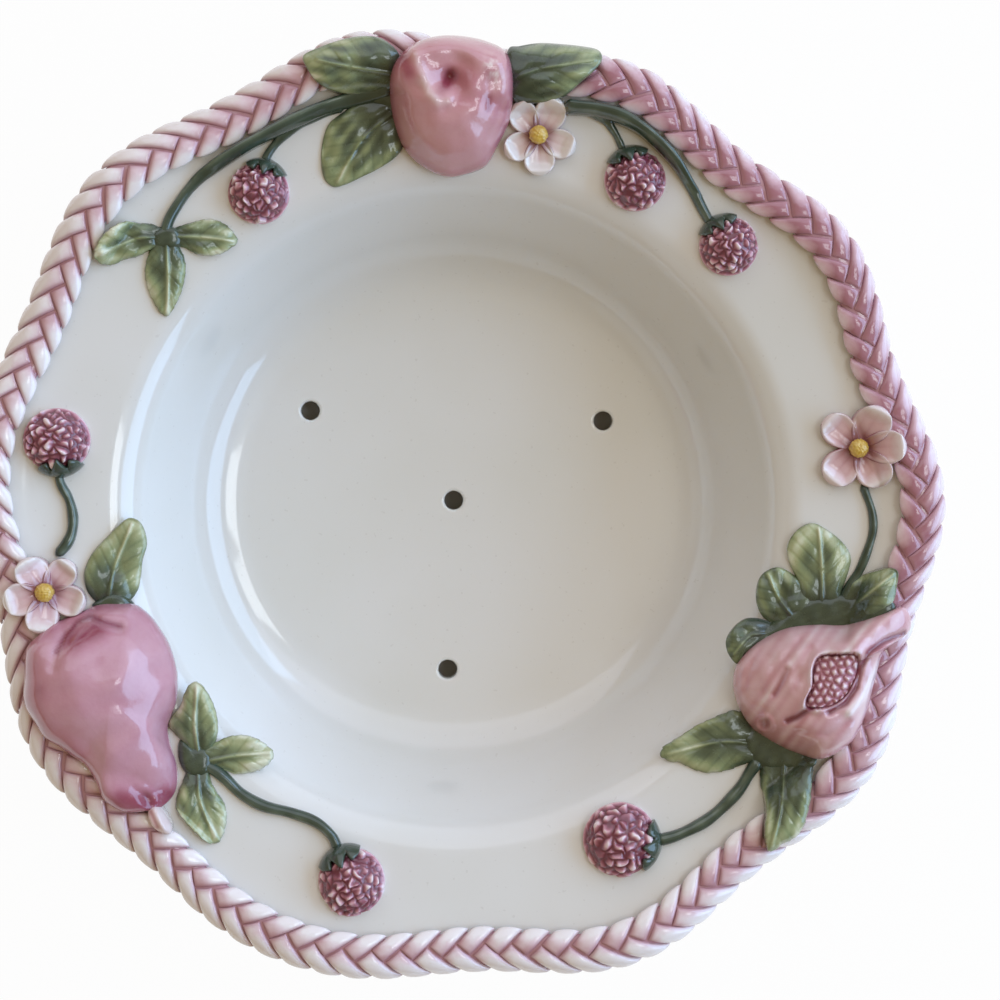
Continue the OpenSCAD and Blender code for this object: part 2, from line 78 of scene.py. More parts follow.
LIP_C = (MARLI_R + LIP_R * sin(MARLI_SLOPE), LIP_Z - LIP_R * cos(MARLI_SLOPE))
CORNER_C = (FLOOR_R, FLOOR_Z + CORNER_R)
RUN = (LIP_C[0] - CORNER_C[0], LIP_C[1] - CORNER_C[1])
WALL_SLOPE = math.degrees(math.atan2(RUN[1], RUN[0]) + math.asin((LIP_R + CORNER_R) / math.hypot(*RUN)))


def mix(a, b, share):
    return a + (b - a) * share


def smooth(x):
    x = np.clip(x, 0, 1)
    return x * x * (3 - 2 * x)


# Form of the bowl

def wave(a):
    return cos(SCALLOPS * (a - CREST_FROM - CREST_DRIFT * cos(a + CREST_DRIFT_FROM)))


def edge_r(a):
    out = MEAN_EDGE_R + SCALLOP_OUT * wave(a) - RIM_OVAL * cos(2 * (a - OVAL_FROM))
    for size, direction in BULGES:
        out = out + size * np.maximum(cos(a - direction), 0) ** BULGE_SHARPNESS
    return out


def marli_z(r, a):
    across = (r - MARLI_R) / (edge_r(a) - MARLI_R)
    return LIP_Z + MARLI_RISE * across + RIPPLE * wave(a) * across ** 2


def rim_z(a):
    return marli_z(edge_r(a), a)


def lip_seat_z(r, last=sin(45)):
    sine = (LIP_C[0] - r) / LIP_R
    on_arc = LIP_C[1] + LIP_R * np.sqrt(np.maximum(1 - np.minimum(sine, last) ** 2, 0))
    return on_arc - np.maximum(sine - last, 0) * LIP_R


def polar(p):
    return np.hypot(p[..., 0], p[..., 1]), np.degrees(np.arctan2(p[..., 1], p[..., 0]))


def shell_z(p):
    r, a = polar(p)
    return np.where(r < MARLI_R, lip_seat_z(r), marli_z(np.minimum(r, edge_r(a)), a))


def plait_top_z(p, gap):
    r, a = polar(p)
    return rim_z(a) - ARCH_SINK + np.sqrt(np.maximum((PLAIT_ENV_R + gap) ** 2 - (r - edge_r(a)) ** 2, 0))


def seat_z(p):
    """Height on which the construction lays a piece."""
    return np.maximum(shell_z(p) + SEAT_GAP, plait_top_z(p, PLAIT_GAP))


def rest_z(p):
    """Height at which a piece's underside meets the glaze of the bowl or dips between the strands."""
    return np.maximum(shell_z(p) - 0.5, plait_top_z(p, -1.6))


def place(at):
    """Place on the rim, from a direction and the share of the way from its inner edge to the plait."""
    at = np.asarray(at, float)
    r = MARLI_R + at[..., 1] * (edge_r(at[..., 0]) - MARLI_R)
    return np.stack((r * cos(at[..., 0]), r * sin(at[..., 0])), -1)


def seen(px, z):
    """Place of something at height z that the photograph shows at a pixel."""
    flat = (px - AXIS_PX) * PX * (1, -1)
    reach = (CAMERA[2] - z) / (CAMERA[2] - RIM_LEVEL)
    return CAMERA[:2] + (flat - CAMERA[:2]) * np.asarray(reach)[..., None]


def seen_on_seat(px):
    p = seen(px, np.full(px.shape[:-1], RIM_LEVEL))
    for _ in range(4):
        p = seen(px, seat_z(p))
    return p


# Lines and outlines

def pairs(row):
    """Points from a plain row of x, y, x, y and so on."""
    return np.reshape(row, (-1, 2)).astype(float)


def spline(points, steps, closed=False):
    """Points of a smooth line through the given ones."""
    p = np.asarray(points, float)
    n = len(p)
    out = []
    for i in range(n if closed else n - 1):
        at = [(i + k) % n if closed else min(max(i + k, 0), n - 1) for k in (-1, 0, 1, 2)]
        a, b, c, d = p[at]
        s = np.arange(steps)[:, None] / steps
        out.append((2 * b + (c - a) * s + (2 * a - 5 * b + 4 * c - d) * s ** 2
                    + (3 * b - a - 3 * c + d) * s ** 3) / 2)
    return np.concatenate(out if closed else out + [p[-1:]])


def evenly(line, count, closed=False):
    """The same line with evenly spaced points."""
    if closed:
        line = np.concatenate((line, line[:1]))
    at = np.concatenate(([0], np.cumsum(np.linalg.norm(np.diff(line, axis=0), axis=1))))
    want = np.linspace(0, at[-1], count + 1)[:-1] if closed else np.linspace(0, at[-1], count)
    return np.stack([np.interp(want, at, line[:, k]) for k in range(line.shape[1])], -1)


def line_distance(p, line):
    """Distance from each point to a line through several, or to a single one."""
    line = np.asarray(line, float)
    if len(line) == 1:
        return np.linalg.norm(p - line[0], axis=-1)
    near_by = np.full(p.shape[:-1], 1e9)
    for a, b in zip(line[:-1], line[1:]):
        run = b - a
        s = np.clip(((p - a) @ run) / (run @ run), 0, 1)
        near_by = np.minimum(near_by, np.linalg.norm(p - a - s[..., None] * run, axis=-1))
    return near_by


def near(p, line, width):
    """1 on a line, fading to 0 over about two widths."""
    return np.exp(-(line_distance(p, line) / width) ** 2)


def strokes(p, *marks):
    """Sum of soft strokes, each given by its strength, its line and its width."""
    return sum(strength * near(p, line, width) for strength, line, width in marks)


def ripples(p, size, seed):
    """Smooth unevenness between -1 and 1, from a few waves."""
    rng = np.random.default_rng(seed)
    out = np.zeros(p.shape[:-1])
    for _ in range(6):
        way = rng.normal(size=p.shape[-1])
        way *= rng.uniform(0.6, 1.6) / size / np.linalg.norm(way)
        out = out + np.sin(p @ way * 2 * math.pi + rng.uniform(0, 6.3))
    return out / 3.5


# Meshes

def grid_faces(rows, cols, ring_rows=False, ring_cols=False, start=0):
    i, j = np.meshgrid(np.arange(rows if ring_rows else rows - 1),
                       np.arange(cols if ring_cols else cols - 1), indexing="ij")
    k, m = (i + 1) % rows, (j + 1) % cols
    quads = np.stack((i * cols + j, i * cols + m, k * cols + m, k * cols + j), -1)
    return (quads.reshape(-1, 4) + start).tolist()


def closed_mesh(name, points, faces):
    """Mesh from points in mm, with all faces turned outwards."""
    mesh = bpy.data.meshes.new(name)
    mesh.from_pydata((np.asarray(points) * MM).tolist(), [], faces)
    clean = bmesh.new()
    clean.from_mesh(mesh)
    bmesh.ops.recalc_face_normals(clean, faces=clean.faces)
    clean.to_mesh(mesh)
    clean.free()
    return mesh


def add_object(name, data):
    thing = bpy.data.objects.new(name, data)
    bpy.context.scene.collection.objects.link(thing)
    return thing


def add_piece(name, points, faces, material, nodes=(), marks=None):
    """Makes a closed, smooth piece from points in mm, with its painted marks, on the fixed body."""
    mesh = closed_mesh(name, points, faces)
    for mark, values in (marks or {}).items():
        layer = mesh.attributes.new(mark, "FLOAT", "POINT")
        layer.data.foreach_set("value", np.ascontiguousarray(values, np.float32))
    mesh.materials.append(material)
    mesh.shade_smooth()
    piece = add_object(name, mesh)
    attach(piece, "root")
    if nodes:
        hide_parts(*nodes)
    return piece


def rings_piece(name, rings, tone, crease, material, nodes=(), skirt=None):
    """A piece from rings of points, outermost first, closed under its first and over its last.

    A skirt is one more ring, under the first and with its marks.
    """
    marks = {"tone": np.broadcast_to(tone, rings.shape[:2]), "crease": np.broadcast_to(crease, rings.shape[:2])}
    if skirt is not None:
        rings = np.concatenate((skirt, rings))
        marks = {mark: np.concatenate((value[:1], value)) for mark, value in marks.items()}
    rows, cols = rings.shape[:2]
    points = np.concatenate((rings.reshape(-1, 3), rings[:1].mean(1), rings[-1:].mean(1)))
    first, last = rows * cols, rows * cols + 1
    faces = grid_faces(rows, cols, ring_cols=True)
    top = (rows - 1) * cols
    for j in range(cols):
        k = (j + 1) % cols
        faces += [(first, k, j), (last, top + j, top + k)]
    marks = {mark: np.concatenate((value.ravel(), [value[0].mean(), value[-1].mean()]))
             for mark, value in marks.items()}
    return add_piece(name, points, faces, material, nodes, marks)


def ground_z(px, outline=None, share=0.0):
    """Height of the seat at pixels, evened out inside an outline towards its middle."""
    base = seen_on_seat(px)
    seat = seat_z(base)
    if outline is None:
        return seat
    rim = seen_on_seat(outline)
    fit = np.linalg.lstsq(np.c_[np.ones(len(rim)), rim], seat_z(rim), rcond=None)[0]
    return mix(seat, fit[0] + base @ fit[1:], smooth((1 - share) / 0.4))


def outline_share(px, middle, outline):
    """Share of the way from a middle to an outline, for pixels."""
    turn = np.degrees(np.arctan2(*np.moveaxis(px - middle, -1, 0)))
    around = np.degrees(np.arctan2(*(outline - middle).T))
    order = np.argsort(around)
    reach = np.interp(turn, around[order], np.linalg.norm(outline - middle, axis=1)[order], period=360)
    return np.linalg.norm(px - middle, axis=-1) / reach


def dome(name, outline, middle, material, nodes=(), *, tone, height, power=2.3, rings=34, count=132,
         relief=None, crease=None, crest=None, level=True, ground=None):
    """A crowned form that the photograph shows inside an outline of pixels.

    relief, tone and crease take pixels and the share of the way from the middle to the outline. crest scales
    the height at pixels, ground gives the height that the form stands on there, and level evens that out.
    """
    outline = evenly(spline(outline, 12, closed=True), count, closed=True)
    share = np.cos(np.linspace(0, math.pi / 2, rings + 1))[:-1, None]
    px = np.asarray(middle) + share[..., None] * (outline - middle)
    rise = height * (1 - share ** power) ** 0.5 * np.ones(px.shape[:-1])
    if crest:
        rise = rise * crest(px)
    if relief:
        rise = rise + relief(px, share) * smooth((1 - share) / 0.06)
    if ground:
        z = ground(px) + rise
    else:
        z = ground_z(px, px[0] if level else None, share) + rise
    p = seen(px, z)
    z = np.maximum(z, rest_z(p) + 0.05)
    skirt = np.dstack((p[:1], np.minimum(rest_z(p[:1]), z[:1] - 0.3)))
    shares = share * np.ones(px.shape[:-1])
    return rings_piece(name, np.dstack((p, z)), tone(px, shares), crease(px, shares) if crease else 0.0,
                       material, nodes, skirt)


# Materials

def colour(code):
    """Linear colour from its screen code."""
    parts = [int(code[k:k + 2], 16) / 255 for k in (1, 3, 5)]
    return [v / 12.92 if v <= 0.04045 else ((v + 0.055) / 1.055) ** 2.4 for v in parts] + [1.0]


class Nodes:
    """Short calls for a material's nodes."""

    def __init__(self, name):
        self.material = bpy.data.materials.new(name)
        self.material.use_nodes = True
        self.tree = self.material.node_tree
        self.shader = self.tree.nodes["Principled BSDF"]

    def add(self, kind, **settings):
        node = self.tree.nodes.new("ShaderNode" + kind)
        for key, value in settings.items():
            setattr(node, key, value)
        return node

    def link(self, source, target):
        self.tree.links.new(source, target)

    def value(self, target, source):
        """Sets a socket to a number or colour, or links it to another one."""
        if isinstance(source, (int, float, list)):
            target.default_value = source
        else:
            self.link(source, target)

    def math(self, operation, a, b=0.0, clamp=False):
        node = self.add("Math", operation=operation, use_clamp=clamp)
        self.value(node.inputs[0], a)
        self.value(node.inputs[1], b)
        return node.outputs[0]

    def noise(self, scale, detail=3.0, roughness=0.55, distortion=0.0):
        where = self.add("TexCoord").outputs["Object"]
        node = self.add("TexNoise")
        self.link(where, node.inputs["Vector"])
        for key, value in (("Scale", scale), ("Detail", detail), ("Roughness", roughness),
                           ("Distortion", distortion)):
            node.inputs[key].default_value = value
        return node.outputs["Fac"]

    def mark(self, name):
        return self.add("Attribute", attribute_name=name).outputs["Fac"]

    def ramp(self, factor, stops):
        node = self.add("ValToRGB")
        ramp = node.color_ramp
        while len(ramp.elements) < len(stops):
            ramp.elements.new(0.5)
        for element, (at, code) in zip(ramp.elements, stops):
            element.position = at
            element.color = colour(code)
        self.link(factor, node.inputs["Fac"])
        return node.outputs["Color"]

    def blend(self, factor, a, b):
        node = self.add("Mix", data_type="RGBA")
        self.value(node.inputs["Factor"], factor)
        for socket, source in zip([s for s in node.inputs if s.type == "RGBA"], (a, b)):
            self.value(socket, colour(source) if isinstance(source, str) else source)
        return [s for s in node.outputs if s.type == "RGBA"][0]

    def spread(self, factor, low, high, start=0.3, end=0.7):
        node = self.add("MapRange")
        self.link(factor, node.inputs["Value"])
        for key, value in (("From Min", start), ("From Max", end), ("To Min", low), ("To Max", high)):
            node.inputs[key].default_value = value
        return node.outputs["Result"]

    def bump(self, height, depth, normal=None):
        node = self.add("Bump")
        node.inputs["Distance"].default_value = depth * MM
        node.inputs["Strength"].default_value = 1.0
        self.link(height, node.inputs["Height"])
        if normal:
            self.link(normal, node.inputs["Normal"])
        return node.outputs["Normal"]

    def coat(self, weight, roughness):
        """Clear, glossy glaze over the colour."""
        for key, value in (("Coat Weight", weight), ("Coat Roughness", roughness), ("IOR", 1.5)):
            self.shader.inputs[key].default_value = value


def painted_glaze(name, stops, wash, mottle=(180, 0.35), streak=(520, 0.15), rough=(0.1, 0.2), coat=0.6,
                  grain=0.05, swell=0.25):
    """Glaze brushed in tones over clay, with a darker wash in its creases; on some pieces the tones and the wash also
    hold painted light and shade.
    """
    n = Nodes(name)
    patches = n.math("MULTIPLY", n.math("SUBTRACT", n.noise(mottle[0], distortion=0.6), 0.5), mottle[1])
    brushed = n.math("MULTIPLY", n.math("SUBTRACT", n.noise(streak[0], detail=5.0), 0.5), streak[1])
    tone = n.math("ADD", n.math("ADD", n.mark("tone"), patches), brushed, clamp=True)
    edge = n.math("ADD", n.math("MULTIPLY", brushed, 0.6), n.mark("crease"), clamp=True)
    paint = n.blend(edge, n.ramp(tone, stops), wash)
    n.link(paint, n.shader.inputs["Base Color"])
    n.link(n.spread(n.noise(260), *rough), n.shader.inputs["Roughness"])
    n.coat(coat, 0.06)
    first = n.bump(n.noise(140, detail=1.0), swell)
    n.link(n.bump(n.noise(900, detail=2.0), grain, first), n.shader.inputs["Normal"])
    return n.material


def white_glaze():
    """Glossy off-white glaze, slightly uneven, with faint specks."""
    n = Nodes("white_glaze")
    clouds = n.ramp(n.noise(14, detail=2.0), ((0.3, "#e2e2dd"), (0.55, "#e6e6e3"), (0.75, "#e8e9e8")))
    speck = n.math("MULTIPLY", n.math("GREATER_THAN", n.noise(700, detail=1.0), 0.74), 0.12)
    n.link(n.blend(speck, clouds, "#9c9284"), n.shader.inputs["Base Color"])
    n.link(n.spread(n.noise(60), 0.07, 0.13), n.shader.inputs["Roughness"])
    n.coat(0.5, 0.04)
    first = n.bump(n.noise(38, detail=1.0), 0.35)
    n.link(n.bump(n.noise(330, detail=1.0), 0.012, first), n.shader.inputs["Normal"])
    return n.material


def bare_clay():
    """Rubbed, unglazed clay of the foot ring."""
    n = Nodes("bare_clay")
    n.link(n.ramp(n.noise(300, detail=6.0), ((0.3, "#cdc3b3"), (0.7, "#e0d8ca"))), n.shader.inputs["Base Color"])
    n.link(n.spread(n.noise(500), 0.6, 0.85), n.shader.inputs["Roughness"])
    n.link(n.bump(n.noise(1500, detail=5.0), 0.08), n.shader.inputs["Normal"])
    return n.material


WHITE = white_glaze()
CLAY = bare_clay()
PLAIT = painted_glaze("plait_glaze", ((0.0, "#ab747f"), (0.4, "#d4adb6"), (0.75, "#ebd7dd"), (1.0, "#f6f0f1")),
                      "#bc8e98", mottle=(150, 0.6))
PEACH = painted_glaze("peach_glaze", ((0.0, "#9c4f60"), (0.4, "#c48690"), (0.7, "#d3a3a6"), (1.0, "#e8d2cf")),
                      "#8f4252", mottle=(60, 0.35))
PEAR = painted_glaze("pear_glaze", ((0.0, "#9a4d62"), (0.4, "#c18698"), (0.7, "#d3a5b2"), (1.0, "#ead6da")),
                     "#8a4156", mottle=(60, 0.35))
POMEGRANATE = painted_glaze("pomegranate_glaze",
                            ((0.0, "#aa626d"), (0.4, "#cc989f"), (0.7, "#dcb5ba"), (1.0, "#efdfe1")),
                            "#7c3444", mottle=(70, 0.4))
SEEDS = painted_glaze("seed_glaze", ((0.0, "#a5596c"), (0.5, "#d3a0ab"), (1.0, "#efdadd")), "#a05a6c")
BERRY = painted_glaze("berry_glaze", ((0.0, "#8e4459"), (0.45, "#c58192"), (0.8, "#e2adba"), (1.0, "#efd8dc")),
                      "#6f3546", mottle=(300, 0.3))
LEAF = painted_glaze("leaf_glaze", ((0.0, "#3a4839"), (0.3, "#5e6c53"), (0.6, "#8f9c73"), (0.82, "#b4bc93"),
                                    (1.0, "#dbdfc4")), "#2f3c31", mottle=(120, 0.3), streak=(420, 0.12),
                     rough=(0.2, 0.32), swell=0.12, grain=0.02)
STEM = painted_glaze("stem_glaze", ((0.0, "#2d3b30"), (0.5, "#46564a"), (1.0, "#75826f")), "#233028")
PETAL = painted_glaze("petal_glaze", ((0.0, "#b9808a"), (0.4, "#dab5b8"), (0.75, "#e6d3d3"), (1.0, "#eee8e6")),
                      "#8f4f5c", mottle=(160, 0.3))
EYE = painted_glaze("eye_glaze", ((0.0, "#a87c26"), (0.5, "#cfa640"), (1.0, "#e6cb74")), "#8a6420",
                    mottle=(500, 0.5), grain=0.2)


# Bowl

BODY_SIDES = 288
FLARE = 0.9


def arc(c, r, start, end, steps):
    s = np.linspace(start, end, steps)
    return [(c[0] + r * sin(v), c[1] - r * cos(v)) for v in s]


def body_rings(a):
    """Radii and heights of the body's rings in each direction, from the floor's middle over the rim."""
    edge, top = edge_r(a), rim_z(a)
    rings = [(r, FLOOR_Z) for r in np.linspace(2, FLOOR_R, 22)[:-1]]
    rings += arc(CORNER_C, CORNER_R, 0, WALL_SLOPE, 20)
    rings += arc(LIP_C, -LIP_R, WALL_SLOPE, MARLI_SLOPE, 18)
    bead = 90 - math.degrees(math.asin(ARCH_SINK / CORE_R))
    inner = edge - CORE_R * sin(bead)
    for share in np.linspace(0, 1, 9)[1:]:
        r = mix(MARLI_R, inner, share)
        rings.append((r, mix(marli_z(r, a), top, smooth(share * 3 - 2))))
    for s in np.linspace(-bead, 90, 12)[1:]:
        rings.append((edge + CORE_R * sin(s), top - ARCH_SINK + CORE_R * cos(s)))
    rings.append((edge + CORE_R - EDGE_ROUND * 0.3, top - WALL_T + EDGE_ROUND * 0.4))
    rings.append((edge + CORE_R - EDGE_ROUND, top - WALL_T))
    for share in np.linspace(1, 0, 7)[1:]:
        r = mix(MARLI_R, edge, share)
        rings.append((r, marli_z(r, a) - WALL_T))
    rings += arc(LIP_C, WALL_T - LIP_R, MARLI_SLOPE, WALL_SLOPE, 12)
    rings += arc(CORNER_C, CORNER_R + WALL_T, WALL_SLOPE, 0, 14)
    rings += [(r, FOOT_H) for r in np.linspace(FLOOR_R, 2, 14)[1:]]
    return rings


def circles(levels, q, x=0.0, y=0.0):
    """Rings of points in all directions q around an upright axis, from radii and heights."""
    return np.array([np.stack((x + r * cos(q), y + r * sin(q), z + 0 * q), -1) for r, z in levels])


def drain_cutter(x, y):
    """A drain hole's shape, flaring at the top where the glaze runs over its edge."""
    r = DRAIN_D / 2
    levels = [(r, FOOT_H - 2), (r, FLOOR_Z - FLARE)]
    levels += [(r + FLARE * (1 - cos(s)), FLOOR_Z - FLARE + FLARE * sin(s)) for s in (15, 30, 45, 60, 75, 88)]
    levels += [(r + FLARE, FLOOR_Z + 3)]
    rings = circles(levels, np.linspace(0, 360, 49)[:-1], x, y)
    rows, cols = rings.shape[:2]
    faces = grid_faces(rows, cols, ring_cols=True)
    faces += [list(range(cols))[::-1], [(rows - 1) * cols + j for j in range(cols)]]
    return add_object("drain_cutter", closed_mesh("drain_cutter", rings.reshape(-1, 3), faces))


def build_body():
    a = np.linspace(0, 360, BODY_SIDES + 1)[:-1]
    body = rings_piece("dressed_bowl", circles(body_rings(a), a), 0.5, 0.0, WHITE, ("bowl_body",))
    places = [(0.0, 0.0)] + [(DRAIN_RING_R * cos(q), DRAIN_RING_R * sin(q))
                             for q in (DRAIN_FROM + 360 * k / DRAINS for k in range(DRAINS))]
    for x, y in places:
        cutter = drain_cutter(x, y)
        cut = body.modifiers.new("drain", "BOOLEAN")
        cut.object = cutter
        cut.solver = "EXACT"
        whole = bpy.data.meshes.new_from_object(body.evaluated_get(bpy.context.evaluated_depsgraph_get()))
        body.modifiers.remove(cut)
        body.data = whole
        bpy.data.objects.remove(cutter)
    body.data.set_sharp_from_angle(angle=math.radians(50))
    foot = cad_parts["foot_ring"]
    for material_slot in foot.material_slots:
        material_slot.material = CLAY
    return body


# Plait: flat strands that show as an outer and an inner row of slanting straps

STRAPS = 3 * PLAIT_REPEATS
STRAP_SKEW, STRAP_OUT, STRAP_IN, STRAP_SPLIT = 0.88, 7.9, -6.1, 0.2
STRAP_GAP, STRAP_LOW, STRAP_H, STRAP_CROWN, STRAP_DIP = 0.5, 8.1, 1.1, 0.35, 0.6
# Painted shade: the strands are darker towards one direction round the rim, and the outer row is paler than the inner
# one
PLAIT_TONE_MEAN, PAINTED_SHADE_SWING, PAINTED_SHADE_AT, PLAIT_TONE_LIMITS = 0.32, 0.7, 35, (-0.4, 0.5)
PALE_OUTER, PALE_INNER = 0.16, -0.08
BED_R, BED_IN, BED_OUT = 8.0, -4.9, 6.4


def on_arch(a, side, r):
    """Point in a direction, at a distance across the plait's arch and from the arch's middle line."""
    lean = np.degrees(side / ARCH_R)
    out = edge_r(a) + r * sin(lean)
    return np.stack((out * cos(a), out * sin(a), rim_z(a) - ARCH_SINK + r * cos(lean)), -1)


def strap(k, inner, shift):
    """Rings of points round one strap from its hidden end, with the place across and along for each."""
    spacing = 2 * math.pi * MEAN_EDGE_R / STRAPS / math.sqrt(2)
    rows = (1 - cos(np.linspace(0, 180, 18))) / 2
    over = sin(np.linspace(-90, 90, 13))
    across = np.concatenate((over, (0.9, 0, -0.9)))[None] * np.ones((len(rows), 1))
    along = rows[:, None] * np.ones_like(across)
    half = (spacing - STRAP_GAP) / 2
    reach = math.sqrt(2) / STRAP_SKEW
    start = k * spacing + shift
    if inner:
        p = start - STRAP_SPLIT * reach + spacing / 2 + across * half
        last = p + (STRAP_IN + 0.5 * across ** 2) * reach
        q = mix(start + spacing / 2 - STRAP_GAP / 2, last, along)
    else:
        q = start + across * half
        last = q - (STRAP_OUT - 0.15 * across ** 2) * reach
        p = mix(start - STRAP_SPLIT * reach - STRAP_GAP / 2, last, along)
    a = -np.degrees((p + q) / math.sqrt(2) / MEAN_EDGE_R)
    side = (q - p) / reach
    rise = (np.maximum(1 - np.abs(across) ** 5, 0) * np.maximum(1 - np.abs(2 * along - 1) ** 16, 0)) ** 0.5
    dip = STRAP_DIP * (1 - smooth(along / 0.4)) * rise
    top = STRAP_LOW + STRAP_H * rise + STRAP_CROWN * (1 - across ** 2) * rise - dip
    r = np.where(np.arange(across.shape[1]) < len(over), top, STRAP_LOW - 0.4)
    return on_arch(a, side, r), across, along, a


def build_plait():
    rng = np.random.default_rng(7)
    for strand in range(3):
        points, faces, tones, creases = [], [], [], []
        for k in range(strand, STRAPS, 3):
            for inner in (False, True):
                rings, across, along, a = strap(k, inner, rng.uniform(-0.3, 0.3))
                rows, cols = across.shape
                start = len(points) * rows * cols
                faces += grid_faces(rows, cols, ring_cols=True, start=start)
                faces += [list(range(start, start + cols))[::-1],
                          list(range(start + (rows - 1) * cols, start + rows * cols))]
                # Painted shade: the strands darken towards one direction round the rim
                pale = np.clip(PLAIT_TONE_MEAN - PAINTED_SHADE_SWING * cos(a - PAINTED_SHADE_AT), *PLAIT_TONE_LIMITS)
                pale = pale + (PALE_INNER if inner else PALE_OUTER)
                # Paler towards each strap's free end, partly the glaze's own paler ends and partly painted highlight
                pale = mix(0.05 + 1.1 * pale, 0.9 + 0.7 * pale, smooth(along * 1.1))
                # Paler along each strap's crown and pinker towards its sides, partly paint and partly painted
                # highlight
                tones.append(pale + rng.uniform(-0.1, 0.1) + 0.08 - 0.42 * across ** 2)
                creases.append(np.maximum(smooth((np.abs(across) - 0.62) / 0.38) * (1 - 0.55 * along),
                                          smooth((0.12 - along) / 0.12)) * 0.85)
                points.append(rings)
        add_piece(f"plait_strand_{strand + 1}", np.array(points).reshape(-1, 3), faces, PLAIT,
                  (f"plait_{strand + 1}",), {"tone": np.array(tones).ravel(), "crease": np.array(creases).ravel()})
    a = (np.arange(BODY_SIDES) * 360 / BODY_SIDES)[:, None] * np.ones(22)
    side = np.linspace(BED_IN, BED_OUT, 11)
    side = np.concatenate((side, side[::-1]))
    r = np.where(np.arange(22) < 11, BED_R, BED_R - 1.2)
    bed = on_arch(a, side * np.ones_like(a), r)
    add_piece("plait_bed", bed.reshape(-1, 3), grid_faces(BODY_SIDES, 22, True, True), PLAIT, (),
              {"tone": np.zeros(a.size), "crease": np.ones(a.size)})


# Fruit

def build_peach():
    outline = [(401, 54), (416, 42), (438, 36), (462, 36), (486, 41), (506, 52), (513, 76), (511, 117), (499, 144),
               (486, 166), (465, 175), (445, 177), (421, 166), (404, 149), (394, 124), (389, 93), (392, 69)]
    stem = [(450, 76)]
    ridge = [(412, 50), (420, 72), (429, 92), (440, 104), (448, 102)]
    cheek = [(446, 106), (462, 101), (480, 99), (503, 106)]
    brow = [(424, 50), (448, 42), (478, 46), (498, 60)]
    drip = [(489, 98), (488, 110)]

    def relief(px, share):
        uneven = mix(0.45, 0.1, smooth((px[..., 1] - 85) / 40)) * ripples(px, 34, 5)
        return uneven + strokes(px, (-4.0, stem, 22), (-2.6, stem, 6), (1.1, ridge, 7), (-0.6, cheek, 9),
                                (0.6, brow, 9), (-0.5, drip, 3))

    def tone(px, share):
        return (0.55 - 0.3 * smooth((share - 0.86) / 0.14) + 0.12 * smooth((px[..., 1] - 110) / 50) * (1 - share)
                # Painted shade: the darker band along the cheek and the dark patch beside the stem's hollow
                + strokes(px, (0.3, ridge, 6), (-0.12, cheek, 7), (-0.5, [(405, 62), (409, 72)], 8),
                          (-0.3, [(452, 76), (462, 80)], 13))
                # Painted reflection: the pale ragged patch on the upper right shoulder
                + 0.3 * near(px, [(490, 62), (498, 80)], 9) * (1 + ripples(px, 9, 6)))

    # Painted shade: the mark between the ridge and the stem's hollow
    def crease(px, share):
        return strokes(px, (0.9, [(450, 75), (446, 84)], 6), (0.7, drip, 3.5), (0.35, [(440, 92), (447, 82)], 5),
                       (0.45, [(487, 70), (491, 80)], 4))

    dome("dressed_peach", outline, (452, 104), PEACH, ("peach",), height=15.0,
         relief=relief, tone=tone, crease=crease)


def build_pear():
    outline = [(100, 604), (120, 603), (135, 604), (150, 615), (160, 628), (170, 645), (176, 665), (178, 680),
               (177, 700), (172, 715), (168, 727), (171, 745), (176, 760), (178, 775), (176, 790), (170, 800),
               (160, 808), (148, 811), (125, 812), (110, 805), (102, 797), (95, 780), (85, 765), (72, 756),
               (60, 747), (45, 738), (34, 722), (26, 708), (23, 696), (24, 680), (25, 655), (30, 643), (45, 630),
               (60, 620), (80, 612)]
    fold = [(53, 668), (57, 652), (66, 636), (78, 622), (90, 616), (104, 622), (120, 626)]
    pucker = [(146, 797), (150, 806)]

    def crest(px):
        down = smooth((px[..., 1] - 655) / 140)
        return mix(1.0, 0.62, down)

    def relief(px, share):
        low = smooth((px[..., 0] * -0.75 - px[..., 1] * 0.66 + 482) / 16)
        return (0.45 * ripples(px, 44, 8) - 0.9 * low * (1 - share)
                + strokes(px, (-1.1, fold, 4.5), (-1.8, pucker, 6), (-0.6, [(135, 790), (146, 797)], 4),
                          (-0.6, [(162, 786), (150, 798)], 4)))

    # Painted shade: darker along the lower left side. Painted light: a paler spot on the upper right side
    def tone(px, share):
        return (0.57 - 0.24 * smooth((share - 0.86) / 0.14)
                + strokes(px, (-0.55, [(74, 642), (98, 630)], 11), (-0.2, [(30, 670), (36, 720), (76, 756)], 14),
                          (-0.5, [(122, 797), (150, 802), (166, 795)], 10), (0.1, [(150, 655)], 26)))

    def crease(px, share):
        return strokes(px, (0.95, fold[1:], 3.0), (0.85, pucker, 4.5), (0.3, [(40, 690)], 7))

    dome("dressed_pear", outline, (110, 700), PEAR, ("pear",), height=16.0, rings=40, count=168,
         relief=relief, tone=tone, crease=crease, crest=crest)
    tuft = [(150, 806), (158, 804), (165, 812), (172, 826), (170, 834), (160, 832), (152, 826), (148, 815)]
    dome("pear_tuft", tuft, (158, 818), PETAL, height=2.6, rings=10, count=40, level=False,
         relief=lambda px, share: strokes(px, (0.5, [(155, 808), (164, 830)], 3),
                                          (-0.4, [(150, 812), (158, 830)], 2)),
         tone=lambda px, share: 0.8 - 0.6 * near(px, [(151, 812), (158, 828)], 2.4))


